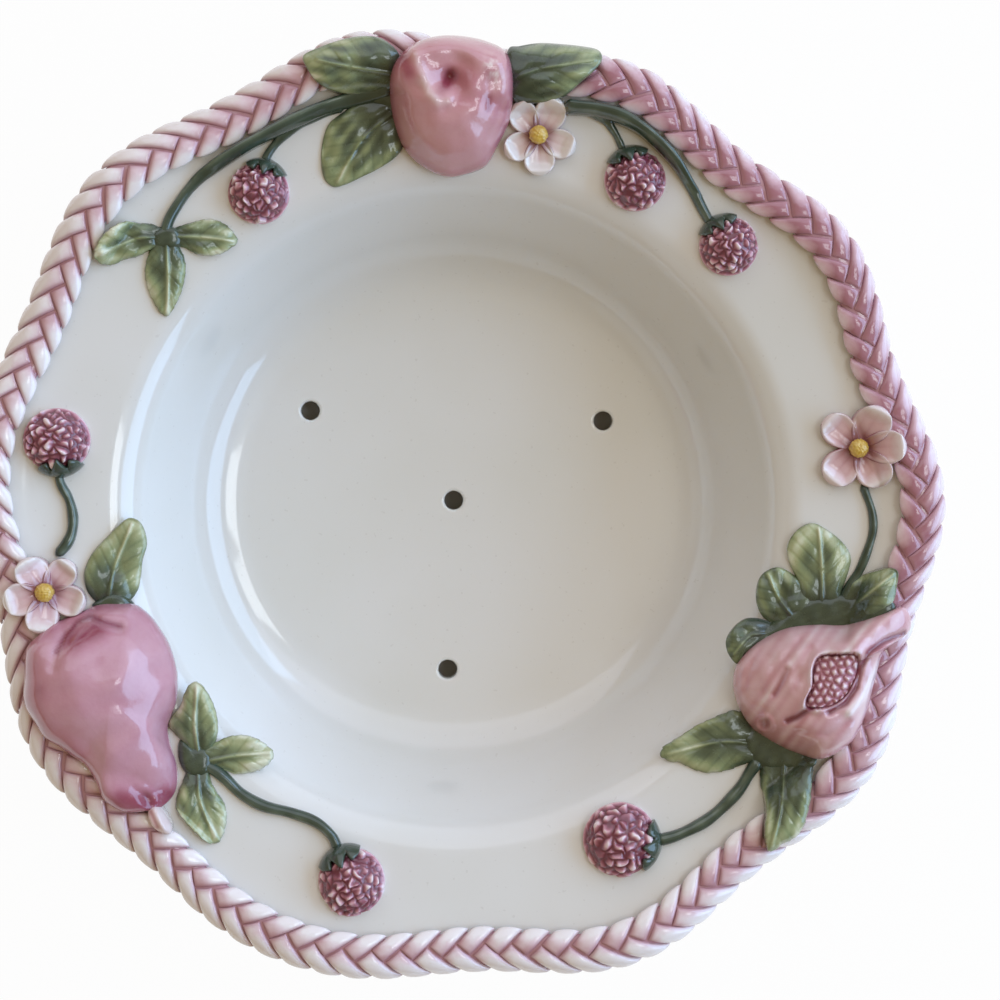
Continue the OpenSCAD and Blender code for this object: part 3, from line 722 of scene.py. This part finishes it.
POMEGRANATE_OUTLINE = [(737, 664), (756, 643), (785, 628), (816, 624), (847, 624), (882, 614), (900, 607), (907, 610),
                       (911, 622), (907, 634), (884, 652), (876, 676), (868, 707), (859, 730), (847, 746),
                       (822, 759), (795, 753), (772, 742), (752, 728), (739, 708), (733, 686)]
SPLIT = [(820, 656), (838, 654), (857, 655), (858, 668), (853, 684), (843, 699), (826, 708), (808, 708), (806, 700),
         (812, 686), (813, 668)]
POMEGRANATE_MIDDLE, SPLIT_MIDDLE = np.array((812.0, 688.0)), np.array((833.0, 681.0))
POMEGRANATE_H = 14.0
KERNEL = np.array((1.0, 0.86))
RIDGE = [(893, 648), (881, 660), (873, 676), (866, 696), (851, 713)]
KNOB = np.array((764.0, 724.0))
DENT = [(786, 670), (780, 682), (774, 694)]
# Strength, line and width of each fold in the skin
FOLDS = [(-0.9, DENT, 3.5), (-0.35, [(800, 640), (772, 672), (762, 690)], 3.5),
         (-0.3, [(812, 648), (800, 668), (795, 690)], 3.5), (-0.3, [(760, 650), (748, 672), (745, 690)], 3.5),
         (-0.35, [(800, 732), (828, 735), (850, 722)], 3.5), (-0.3, [(812, 715), (838, 712), (856, 690)], 3.5)]
CRACKS = [[(787, 721), (797, 717), (811, 708)],
          [(829, 712), (845, 703), (856, 687), (860, 668), (869, 652), (884, 641), (903, 633)]]


def pomegranate_crest(px):
    return mix(1.0, 0.5, smooth((px[..., 0] - 850) / 55))


def pomegranate_z(px):
    """Height of the pomegranate's skin, without its relief."""
    outline = evenly(spline(POMEGRANATE_OUTLINE, 12, closed=True), 220, closed=True)
    share = np.clip(outline_share(px, POMEGRANATE_MIDDLE, outline), 0, 1)
    return ground_z(px, outline, share) + POMEGRANATE_H * (1 - share ** 2.3) ** 0.5 * pomegranate_crest(px)


def build_pomegranate():
    ring = spline(SPLIT, 8, closed=True)
    lip_line = np.concatenate((ring, ring[:1]))

    def inside(px):
        return outline_share(px, SPLIT_MIDDLE, ring)

    def lip(px):
        return near(px, lip_line, 4.5) * (inside(px) > 1) * (1 - near(px, CRACKS[1], 7))

    def relief(px, share):
        from_knob = np.linalg.norm(px - KNOB, axis=-1)
        return (-3.6 * smooth((1.1 - inside(px)) / 0.26) + 1.1 * lip(px) + np.exp(-((from_knob - 7.5) / 3) ** 2)
                + strokes(px, *FOLDS, (1.2, RIDGE, 5), (0.9, [(874, 654), (880, 650)], 6),
                          *((-1.6, line, 3.2) for line in CRACKS)) + 0.25 * ripples(px, 30, 9))

    def tone(px, share):
        streaks = ripples(px @ np.array(((0.8, 0.1), (0.6, 0.1))), 12, 12)
        return (0.54 + 0.3 * lip(px) + 0.35 * strokes(px, *FOLDS) - 0.12 * smooth((share - 0.9) / 0.1)
                + strokes(px, (0.45, RIDGE, 5), (-0.45, [(872, 652), (884, 648)], 6), (-0.3, [KNOB], 11))
                + 0.1 * smooth((px[..., 0] - 800) / 60) + 0.2 * streaks)

    def crease(px, share):
        return np.clip(0.85 * smooth((1.06 - inside(px)) / 0.1)
                       + strokes(px, (0.5, [KNOB], 4), (0.3, DENT, 3), *((0.95, line, 3.0) for line in CRACKS)), 0, 1)

    dome("dressed_pomegranate", POMEGRANATE_OUTLINE, POMEGRANATE_MIDDLE, POMEGRANATE,
         ("pomegranate",), height=POMEGRANATE_H, rings=56, count=220, relief=relief, tone=tone, crease=crease,
         crest=pomegranate_crest)


def lumps(p, centres, size):
    """Rounded lumps around centres: 1 in a lump's middle, 0 in the groove between two."""
    gaps = np.linalg.norm(p[..., None, :] - centres, axis=-1)
    gaps.sort(axis=-1)
    return smooth((gaps[..., 1] - gaps[..., 0]) / size)


def build_seeds():
    rng = np.random.default_rng(21)
    grid = np.array([(x + 4.1 * (k % 2), y) for k, y in enumerate(np.arange(650, 716, 7.2))
                     for x in np.arange(798, 868, 8.2)])
    centres = (grid + rng.uniform(-2.3, 2.3, grid.shape)) * KERNEL
    outline = SPLIT_MIDDLE + (np.array(SPLIT, float) - SPLIT_MIDDLE) * 0.98

    def body(px):
        return lumps(px * KERNEL, centres, 5.2)

    dome("dressed_seeds", outline, SPLIT_MIDDLE, SEEDS, ("pomegranate_seeds",), height=1.2, rings=44,
         count=144, ground=lambda px: pomegranate_z(px) - 3.0, relief=lambda px, share: 1.5 * body(px),
         tone=lambda px, share: 0.3 + 0.6 * body(px), crease=lambda px, share: 0.5 * (1 - body(px)) ** 2)


# Leaves

LEAVES = [
    # outline and midrib as x, y, x, y and so on in pixels, saw-teeth, tone at the base, tone towards the edge
    ([303, 56, 320, 47, 340, 40, 360, 36, 377, 37, 389, 43, 399, 54, 400, 70, 396, 90, 380, 95, 355, 95, 333, 91,
     317, 82, 308, 70], [395, 74, 350, 67, 318, 60], 0.0, 0.16, 0.68),
    ([360, 102, 342, 113, 329, 124, 323, 140, 321, 160, 324, 178, 333, 187, 345, 185, 362, 177, 380, 168, 396, 157,
     403, 146, 401, 125, 396, 108, 380, 100], [392, 114, 362, 140, 338, 182], 0.0, 0.17, 0.66),
    ([508, 50, 520, 46, 540, 43, 560, 44, 580, 46, 598, 50, 602, 60, 593, 72, 580, 83, 566, 95, 550, 101, 530, 104,
     514, 101, 508, 80], [512, 80, 540, 69, 594, 60], 0.0, 0.08, 0.55),
    ([166, 231, 152, 224, 140, 223, 127, 221, 115, 225, 105, 233, 97, 244, 94, 256, 101, 264, 113, 265, 124, 260,
     137, 257, 149, 251, 165, 243], [166, 237, 136, 239, 102, 254], 0.03, 0.2, 0.82),
    ([157, 238, 150, 250, 146, 262, 145, 275, 148, 290, 154, 303, 161, 314, 168, 316, 174, 308, 180, 296, 184, 283,
     186, 268, 184, 256, 179, 246, 174, 236], [166, 237, 168, 275, 167, 312], 0.03, 0.2, 0.82),
    ([166, 232, 180, 226, 193, 222, 207, 219, 219, 221, 230, 228, 238, 241, 230, 249, 221, 254, 208, 256, 196, 254,
     184, 248, 166, 243], [166, 237, 200, 237, 234, 241], 0.03, 0.2, 0.8),
    ([104, 606, 93, 599, 86, 588, 84, 573, 90, 557, 98, 546, 108, 536, 119, 525, 129, 518, 139, 521, 145, 531, 147,
     545, 143, 560, 141, 577, 138, 590, 130, 601, 118, 607], [108, 604, 114, 570, 132, 524], 0.0, 0.27, 0.82),
    ([197, 764, 186, 746, 175, 734, 168, 725, 172, 716, 180, 706, 184, 694, 190, 684, 198, 682, 206, 690, 214, 705,
     218, 722, 217, 738, 209, 752], [200, 762, 195, 725, 197, 687], 0.02, 0.28, 0.86),
    ([197, 757, 206, 747, 218, 741, 230, 736, 245, 735, 258, 739, 268, 746, 274, 753, 271, 762, 262, 769, 250, 773,
     236, 774, 224, 770, 212, 767, 201, 768], [200, 763, 235, 756, 270, 753], 0.03, 0.4, 1.0),
    ([190, 764, 183, 780, 177, 795, 176, 808, 183, 820, 195, 833, 208, 843, 219, 842, 225, 830, 227, 815, 224, 802,
     217, 792, 211, 780, 207, 764], [198, 764, 200, 800, 215, 836], 0.03, 0.24, 0.88),
    ([806, 604, 797, 580, 789, 563, 787, 548, 792, 536, 801, 527, 813, 523, 826, 529, 838, 538, 847, 548, 851, 559,
     848, 573, 842, 590, 836, 604], [822, 604, 822, 570, 819, 528], 0.0, 0.24, 0.88),
    ([800, 626, 780, 626, 764, 618, 757, 605, 756, 590, 760, 577, 768, 570, 778, 567, 788, 571, 799, 579, 810, 590,
     818, 603, 815, 622], [797, 622, 780, 600, 768, 574], 0.0, 0.12, 0.52),
    ([744, 655, 739, 664, 733, 661, 727, 651, 726, 640, 731, 630, 739, 622, 748, 618, 762, 619, 775, 626, 770, 640,
     756, 648], [766, 634, 750, 636, 734, 654], 0.0, 0.1, 0.42),
    ([838, 606, 846, 592, 853, 581, 863, 575, 876, 571, 890, 568, 898, 572, 897, 586, 894, 600, 887, 611, 872, 618,
     850, 618], [848, 610, 868, 594, 893, 574], 0.0, 0.12, 0.6),
    ([755, 729, 745, 715, 735, 710, 724, 713, 710, 719, 697, 725, 683, 734, 672, 741, 663, 747, 660, 755, 668, 761,
     680, 763, 692, 769, 706, 773, 720, 772, 732, 769, 745, 764, 764, 758], [762, 745, 720, 742, 668, 754], 0.03,
     0.12, 0.74),
    ([762, 752, 760, 770, 760, 785, 764, 797, 766, 812, 764, 828, 765, 842, 769, 852, 775, 850, 783, 844, 795, 838,
     804, 826, 808, 812, 811, 798, 812, 780, 812, 757, 788, 750], [784, 756, 782, 800, 772, 846], 0.03, 0.1, 0.7),
]
LEAF_T, VEIN_STEP = 2.5, 15.0


def saw_edge(outline, middle, teeth, count=168):
    """The same outline with small saw-teeth."""
    line = evenly(spline(outline, 12, closed=True), count, closed=True)
    saw = (np.arange(count) % 8) / 8 - 0.5
    return middle + (line - middle) * (1 + teeth * saw)[:, None]


def build_leaf(i):
    outline, rib, teeth, dark, light = LEAVES[i]
    rib = spline(pairs(rib), 6)
    middle = rib[6]
    run = rib[-1] - rib[0]
    length = np.linalg.norm(run)
    way = run / length
    turn = np.array(((way[0], -way[1]), (way[1], way[0])))

    def local(px):
        spot = (px - rib[0]) @ turn
        return spot[..., 0] / length, spot[..., 1]

    def veins(px):
        u, v = local(px)
        step = (u * length - np.abs(v) * 1.1) / VEIN_STEP + 0.3 * i
        return np.exp(-((step - np.floor(step) - 0.5) / 0.13) ** 2) * smooth(np.abs(v) / 4) * smooth(u * 4)

    def relief(px, share):
        u, v = local(px)
        return (0.55 * near(px, rib, 2.0) - 0.6 * near(px, rib, 6.5) * (1 - u * 0.5) - 0.09 * veins(px)
                + 0.4 * np.sin(4 * u + 2 * i) * share ** 2 + 0.4 * ripples(px, 30, 40 + i))

    def tone(px, share):
        u, v = local(px)
        brushed = ripples(np.stack((u * length / 48, v / 15), -1), 1.0, 100 + i)
        reach = smooth(1.2 * u - 0.1) * 0.6 + 0.55 * smooth(u * 2.0) * smooth((share - 0.45) / 0.5)
        return (mix(dark, light, np.clip(reach, 0, 1)) + 0.24 * brushed * smooth(u * 2.5) - 0.1 * veins(px)
                # Pale line on the raised midrib, partly paint and partly painted highlight
                + 0.26 * near(px, rib, 1.6) * smooth(u * 3))

    def crease(px, share):
        u, v = local(px)
        beside = near(px, rib, 5.5) - near(px, rib, 2.2)
        return np.clip(0.8 * beside * (1 - u ** 2) + 0.8 * smooth((0.24 - u) / 0.3)
                       + 0.4 * smooth((share - 0.93) / 0.07), 0, 1)

    dome(f"dressed_leaf_{i + 1}", saw_edge(pairs(outline), middle, teeth), middle, LEAF, (f"leaf_{i + 1}",),
         height=LEAF_T, power=3.0, rings=24, count=168, level=False, relief=relief, tone=tone, crease=crease)


# Stems

STEMS = [
    # x, y, x, y and so on in pixels along each stem, from where it begins
    [392, 88, 366, 97, 330, 106, 300, 118, 279, 128, 245, 146, 215, 166, 191, 187, 174, 211, 167, 226, 166, 238],
    [345, 106, 322, 114, 300, 124, 283, 137, 271, 150, 263, 164],
    [564, 106, 575, 107, 595, 109, 616, 114, 636, 124, 653, 137, 675, 160, 693, 191, 704, 212, 712, 226],
    [586, 110, 602, 118, 613, 130, 620, 143, 624, 154],
    [56, 556, 66, 545, 72, 532, 73, 516, 69, 499, 61, 484, 58, 470],
    [198, 763, 212, 768, 225, 778, 242, 794, 264, 806, 292, 813, 316, 822, 332, 836, 338, 850],
    [842, 602, 850, 585, 860, 569, 868, 549, 873, 530, 872, 512, 866, 494, 862, 484],
    [760, 758, 750, 772, 737, 792, 710, 818, 680, 834, 656, 841],
]
# Width of each stem at its beginning and its end
STEM_W = [(4.4, 3.2), (2.9, 2.5), (4.2, 3.0), (2.4, 2.2), (3.4, 2.6), (3.4, 3.2), (2.7, 2.4), (3.6, 3.4)]
STEM_FLATNESS = 0.62


def build_stem(i):
    line = seen_on_seat(spline(pairs(STEMS[i]), 24))
    count = int(np.linalg.norm(np.diff(line, axis=0), axis=1).sum() / 0.8)
    line = evenly(line, count)
    way = np.gradient(line, axis=0)
    side = np.stack((way[:, 1], -way[:, 0]), -1) / np.linalg.norm(way, axis=1)[:, None]
    at = np.linspace(0, 1, count)
    taper = np.sqrt(np.clip(np.minimum(at, 1 - at) * count * 0.8 / 1.6, 0.05, 1))
    width = mix(STEM_W[i][0], STEM_W[i][1], smooth(at)) * (1 + 0.06 * np.sin(at * 21 + i)) * taper
    q = np.linspace(-12, 192, 13)
    p = line[:, None] + side[:, None] * (0.5 * cos(q))[None, :, None] * width[:, None, None]
    middle = seat_z(line)[:, None]
    seat = mix(seat_z(p), middle, 0.5)
    z = np.maximum(seat + (STEM_FLATNESS * sin(q))[None] * width[:, None], rest_z(p))
    z[:, 0] = rest_z(p[:, 0])
    z[:, -1] = rest_z(p[:, -1])
    rings = np.dstack((p, z))
    tone = 0.3 + 0.4 * np.exp(-((q[None] - 60) / 26) ** 2) + 0.1 * np.sin(at * 40 + i)[:, None]
    crease = 0.4 * (np.abs(q[None] - 90) > 85) * np.ones((count, 1))
    rings_piece(f"dressed_stem_{i + 1}", rings, tone, crease, STEM, (f"stem_{i + 1}",))


# Berries

BERRIES = [((122.0, 0.21), 0.95, 72), ((170.4, 0.47), 1.0, 278), ((61.2, 0.24), 0.95, 108),
           ((43.7, 0.30), 0.9, 118), ((254.5, 0.35), 1.03, 116), ((296.4, 0.18), 1.14, 350)]
BERRY_D, BERRY_H, DRUPELETS = 19.2, 8.4, 70
CALYX_SPREAD, CALYX_GAP, CALYX_T = 40, 0.35, 1.1
GOLDEN_TURN = 137.5


def cap(rows, cols, last):
    """Angles up and around for the points of a round cap, and their directions."""
    rise = np.linspace(0, last, rows)[:, None] * np.ones((1, cols))
    q = np.linspace(0, 360, cols + 1)[:-1][None] * np.ones((rows, 1))
    return rise, q, np.stack((cos(rise) * cos(q), cos(rise) * sin(q), sin(rise)), -1)


def rise_point(c, d, h, rise, q):
    r = d / 2 * cos(rise)
    p = np.stack((c[0] + r * cos(q), c[1] + r * sin(q)), -1)
    return np.concatenate((p, (mix(seat_z(p), seat_z(c), 0.5) + h * sin(rise))[..., None]), -1)


def build_berry(i):
    at, share, heading = BERRIES[i]
    c, d = place(at), BERRY_D * share
    rng = np.random.default_rng(50 + i)
    k = np.arange(DRUPELETS) + 0.5
    up = 1 - 1.05 * k / DRUPELETS
    turn = k * GOLDEN_TURN + rng.uniform(-14, 14, DRUPELETS)
    flat = np.sqrt(np.maximum(1 - up ** 2, 0))
    centres = np.stack((flat * cos(turn), flat * sin(turn), up), -1) + rng.normal(0, 0.05, (DRUPELETS, 3))
    rise, q, way = cap(44, 144, 89)
    warp = way + 0.09 * np.stack([ripples(way, 0.45, 60 + 3 * i + axis) for axis in range(3)], -1)
    body = lumps(warp, centres, 0.27)
    fade = smooth(rise / 10)
    bump = (1.4 * body - 1.1) * fade
    rings = rise_point(c, d + 2 * bump, BERRY_H + bump, rise, q)
    skirt = rings[:1].copy()
    skirt[..., 2] = rest_z(skirt[..., :2])
    tone = mix(0.9, 0.12 + 1.1 * body, smooth(rise / 8)) + 0.12 * ripples(way, 0.6, 90 + i)
    crease = 0.95 * (1 - body) ** 2 * fade
    rings_piece(f"dressed_berry_{i + 1}", rings, tone, crease, BERRY, (f"berry_{i + 1}",), skirt)


def build_calyx(i):
    at, share, heading = BERRIES[i]
    c = place(at)
    d, h = BERRY_D * share + 2 * CALYX_GAP, BERRY_H + CALYX_GAP
    s = np.linspace(-1, 1, 37)[:, None]
    lift = np.abs(cos(2.5 * 90 * s)) ** 0.9
    high = mix(26, 54, lift) * (1 - 0.45 * s ** 2)
    q = heading + CALYX_SPREAD * s
    v = np.linspace(0, 1, 12)[None]
    thick = CALYX_T * (1 - s ** 2 / 2) * (1 - 0.75 * v ** 3)
    rib = 0.2 * np.exp(-(s / 0.16) ** 2) * (1 - v)
    top = rise_point(c, d + 2 * (thick + rib), h + thick + rib, high * v, q * np.ones_like(v))
    low = rise_point(c, d - 1.8, h - 0.9, high * v, q * np.ones_like(v))
    foot = top[:, :1].copy()
    foot[..., 2] = rest_z(foot[..., :2])
    rings = np.concatenate((foot, top, low[:, ::-1]), axis=1)
    tone = 0.15 + 0.3 * rib + 0.2 * v
    tone = np.concatenate((tone[:, :1], tone, tone[:, ::-1]), axis=1)
    rings_piece(f"dressed_calyx_{i + 1}", rings, tone, np.zeros(1), STEM, (f"calyx_{i + 1}",))


# Flowers

# Pixel of each flower's middle, its size and paleness, and the direction in which each of its petals points; the
# first flower's greater paleness is partly its glaze and partly painted light
FLOWERS = [((538, 136), 24.0, 0.34, (-22, 60, 130, 210, 273)), ((46, 592), 24.5, 0.05, (-22, 50, 122, 195, 264)),
           ((857, 448), 27.5, -0.06, (3, 64, 137, 229, 302))]
EYE_D, EYE_H, PETAL_T = 5.6, 2.4, 2.4


def petal_rings(c, size, pale, heading, seed):
    rng = np.random.default_rng(seed)
    u = np.linspace(0.1, 1, 24)[:, None]
    v = np.linspace(-1, 1, 21)[None]
    reach = size / 2 * rng.uniform(0.93, 1.0)
    half = reach * rng.uniform(0.37, 0.42) * np.maximum(sin(180 * (0.1 + 0.85 * u) ** 1.5), 0.02) ** 0.55
    along = reach * (u - 0.04 * v ** 2 * u)
    local = np.stack((along * np.ones_like(v), half * v), -1)
    turn = np.array(((cos(heading), sin(heading)), (-sin(heading), cos(heading))))
    p = c + local @ turn
    base = mix(seat_z(p), seat_z(c), 0.35)
    rim = np.maximum(np.abs(v) ** 3 * smooth(u / 0.4), smooth((u - 0.62) / 0.3))
    edge = smooth((np.maximum(np.abs(v), (u - 0.05) / 0.95 * np.ones_like(v)) - 0.9) / 0.1)
    cup = 0.9 + 0.5 * u + 1.7 * rim - 1.3 * edge - 0.3 * np.exp(-(v / 0.14) ** 2) * (1 - u)
    z = np.maximum(base + cup, rest_z(p) + 0.5)
    top = np.dstack((p, z))
    under = np.dstack((c + local * 0.97 @ turn, rest_z(p)))
    rings = np.concatenate((top, under[:, ::-1]), axis=1)
    lines = np.exp(-(v / 0.1) ** 2) + np.exp(-((np.abs(v) - 0.5) / 0.1) ** 2)
    tone = 0.3 + pale + 0.25 * smooth(u * 1.4 - 0.2) + 0.42 * rim * (1 - 0.5 * edge) - 0.2 * lines * (1 - u)
    crease = 0.75 * smooth((0.5 - u) / 0.3) + 0.6 * edge * (np.abs(v) > 0.85)
    double = [np.concatenate((m, m[:, ::-1]), axis=1) for m in (tone * np.ones_like(z), crease * np.ones_like(z))]
    return rings, double


def build_flower(i):
    at, size, pale, headings = FLOWERS[i]
    c = seen_on_seat(np.array(at, float))
    for k, heading in enumerate(headings):
        rings, (tone, crease) = petal_rings(c, size, pale, heading, 10 * i + k)
        rings_piece(f"flower_{i + 1}_petal_{k + 1}", rings, tone, crease, PETAL, (f"flower_{i + 1}",))
    rise, q, way = cap(14, 40, 88)
    grain = 0.18 * ripples(way, 0.35, 70 + i)
    r = (EYE_D / 2 + grain) * cos(rise)
    low = float(seat_z(c)) + PETAL_T - 1.2
    top = np.stack((c[0] + r * cos(q), c[1] + r * sin(q), low + 1.4 + (EYE_H + grain) * sin(rise)), -1)
    skirt = top[:1].copy()
    skirt[..., 2] = low - 1.0
    tone = 0.55 + 0.9 * grain + 0.15 * sin(rise)
    crease = 0.5 * smooth((20 - rise) / 20)
    rings_piece(f"dressed_eye_{i + 1}", top, tone, crease, EYE, (f"flower_eye_{i + 1}",), skirt)


# Dark joins where leaves and stems meet: outline as x, y, x, y and so on in pixels, and its middle
JOINS = [
    ([156, 230, 166, 226, 177, 229, 183, 238, 180, 247, 166, 251, 153, 247, 150, 237], (166, 238)),
    ([180, 740, 192, 746, 205, 748, 212, 757, 211, 769, 203, 777, 191, 776, 183, 770, 178, 756], (196, 761)),
    ([734, 655, 744, 640, 760, 630, 780, 616, 800, 602, 815, 596, 838, 594, 862, 596, 886, 600, 896, 606, 886, 620,
     850, 640, 800, 645, 770, 655, 750, 662], (812, 622)),
    ([742, 738, 756, 722, 775, 732, 795, 742, 813, 750, 816, 764, 800, 770, 778, 770, 758, 768, 745, 756],
     (780, 752)),
    ([366, 94, 384, 84, 400, 66, 406, 92, 406, 124, 396, 118, 384, 108, 372, 103], (393, 96)),
    ([92, 606, 104, 596, 116, 592, 128, 597, 134, 606, 114, 612], (114, 603)),
]


def build_joins():
    for k, (outline, middle) in enumerate(JOINS):
        dome(f"leaf_join_{k + 1}", pairs(outline), middle, LEAF, height=2.3, power=4.0, rings=14, count=72,
             level=False, relief=lambda px, share: 0.15 * ripples(px, 22, 31),
             tone=lambda px, share: 0.1 + 0.1 * ripples(px, 12, 32), crease=lambda px, share: 0.45 + 0 * px[..., 0])


# Stage: floor, light and camera

FLOOR_GLOW, FLOOR_REACH = 0.965, 8
# Radii between which the floor under the bowl goes from dark to glowing
DARK_R, GLOW_R = 70, 110


def build_floor():
    """White floor that keeps a faint shadow, and is dark where the bowl's foot shuts out the light."""
    n = Nodes("white_floor")
    n.shader.inputs["Base Color"].default_value = colour("#e9e9e9")
    n.shader.inputs["Roughness"].default_value = 0.9
    rays = n.add("LightPath")
    shown = n.math("MAXIMUM", n.math("MAXIMUM", rays.outputs["Is Camera Ray"], rays.outputs["Is Glossy Ray"]),
                   rays.outputs["Is Transmission Ray"])
    glow = n.add("Emission")
    glow.inputs["Color"].default_value = colour("#ffffff")
    both = n.add("MixShader")
    away = n.add("VectorMath", operation="LENGTH")
    n.link(n.add("NewGeometry").outputs["Position"], away.inputs[0])
    open_floor = n.spread(away.outputs["Value"], 0.0, 1.0, DARK_R * MM, GLOW_R * MM)
    n.link(n.math("MULTIPLY", n.math("MULTIPLY", shown, FLOOR_GLOW), open_floor), both.inputs["Fac"])
    n.link(n.shader.outputs["BSDF"], both.inputs[1])
    n.link(glow.outputs["Emission"], both.inputs[2])
    n.link(both.outputs["Shader"], n.tree.nodes["Material Output"].inputs["Surface"])
    mesh = bpy.data.meshes.new("floor")
    mesh.from_pydata([(x * FLOOR_REACH, y * FLOOR_REACH, 0) for x, y in ((-1, -1), (1, -1), (1, 1), (-1, 1))],
                     [], [(0, 1, 2, 3)])
    mesh.materials.append(n.material)
    add_object("floor", mesh)


def add_lamp(name, azimuth, elevation, distance, width, height, power, tint):
    """A soft panel that faces the bowl from a direction."""
    lamp = bpy.data.lights.new(name, "AREA")
    lamp.shape = "RECTANGLE"
    lamp.size, lamp.size_y = width, height
    lamp.energy = power
    lamp.color = tint
    holder = add_object(name, lamp)
    target = Vector((0, 0, 0.05))
    flat = distance * cos(elevation)
    holder.location = target + Vector((flat * cos(azimuth), flat * sin(azimuth), distance * sin(elevation)))
    holder.rotation_euler = (target - holder.location).to_track_quat("-Z", "Y").to_euler()


# Name, azimuth, elevation, distance, width, height, power and colour of each soft panel
LAMPS = [
    ("window_1", -8, 62, 1.5, 0.26, 0.5, 1.9, (0.86, 0.94, 1.0)),
    ("window_2", 19, 62, 1.5, 0.24, 0.5, 1.6, (0.86, 0.94, 1.0)),
    ("window_low", 4, 24, 1.8, 2.7, 1.2, 37.0, (0.42, 0.66, 1.0)),
    ("doorway", 85, 36, 1.8, 3.2, 2.0, 21.0, (0.75, 0.82, 1.0)),
    ("ceiling", 90, 85, 1.9, 2.4, 2.4, 2.8, (1.0, 0.9, 0.65)),
    ("wall_glow", 205, 22, 1.8, 2.0, 0.9, 2.0, (0.6, 0.78, 1.0)),
]
WORLD_TINT, WORLD_STRENGTH = (1.0, 0.68, 0.28), 0.275
SENSOR, FOCAL, SHIFT = 36, 74.2, (0.0651, -0.0937)


def build_light():
    for lamp in LAMPS:
        add_lamp(*lamp)
    world = bpy.data.worlds.new("soft_world")
    world.use_nodes = True
    back = world.node_tree.nodes["Background"]
    back.inputs["Color"].default_value = WORLD_TINT + (1.0,)
    back.inputs["Strength"].default_value = WORLD_STRENGTH
    bpy.context.scene.world = world


def build_camera():
    """Camera that looks straight down, shifted to the photograph's frame."""
    lens = bpy.data.cameras.new("camera")
    lens.sensor_width, lens.lens = SENSOR, FOCAL
    lens.shift_x, lens.shift_y = SHIFT
    camera = add_object("camera", lens)
    camera.location = CAMERA * MM
    bpy.context.scene.camera = camera


def main():
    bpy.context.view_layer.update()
    build_body()
    build_plait()
    build_peach()
    build_pear()
    build_pomegranate()
    build_seeds()
    for i in range(len(LEAVES)):
        build_leaf(i)
    for i in range(len(STEMS)):
        build_stem(i)
    for i in range(len(BERRIES)):
        build_berry(i)
        build_calyx(i)
    for i in range(len(FLOWERS)):
        build_flower(i)
    build_joins()
    build_floor()
    build_light()
    build_camera()
    bpy.context.scene.view_settings.view_transform = "Standard"


main()
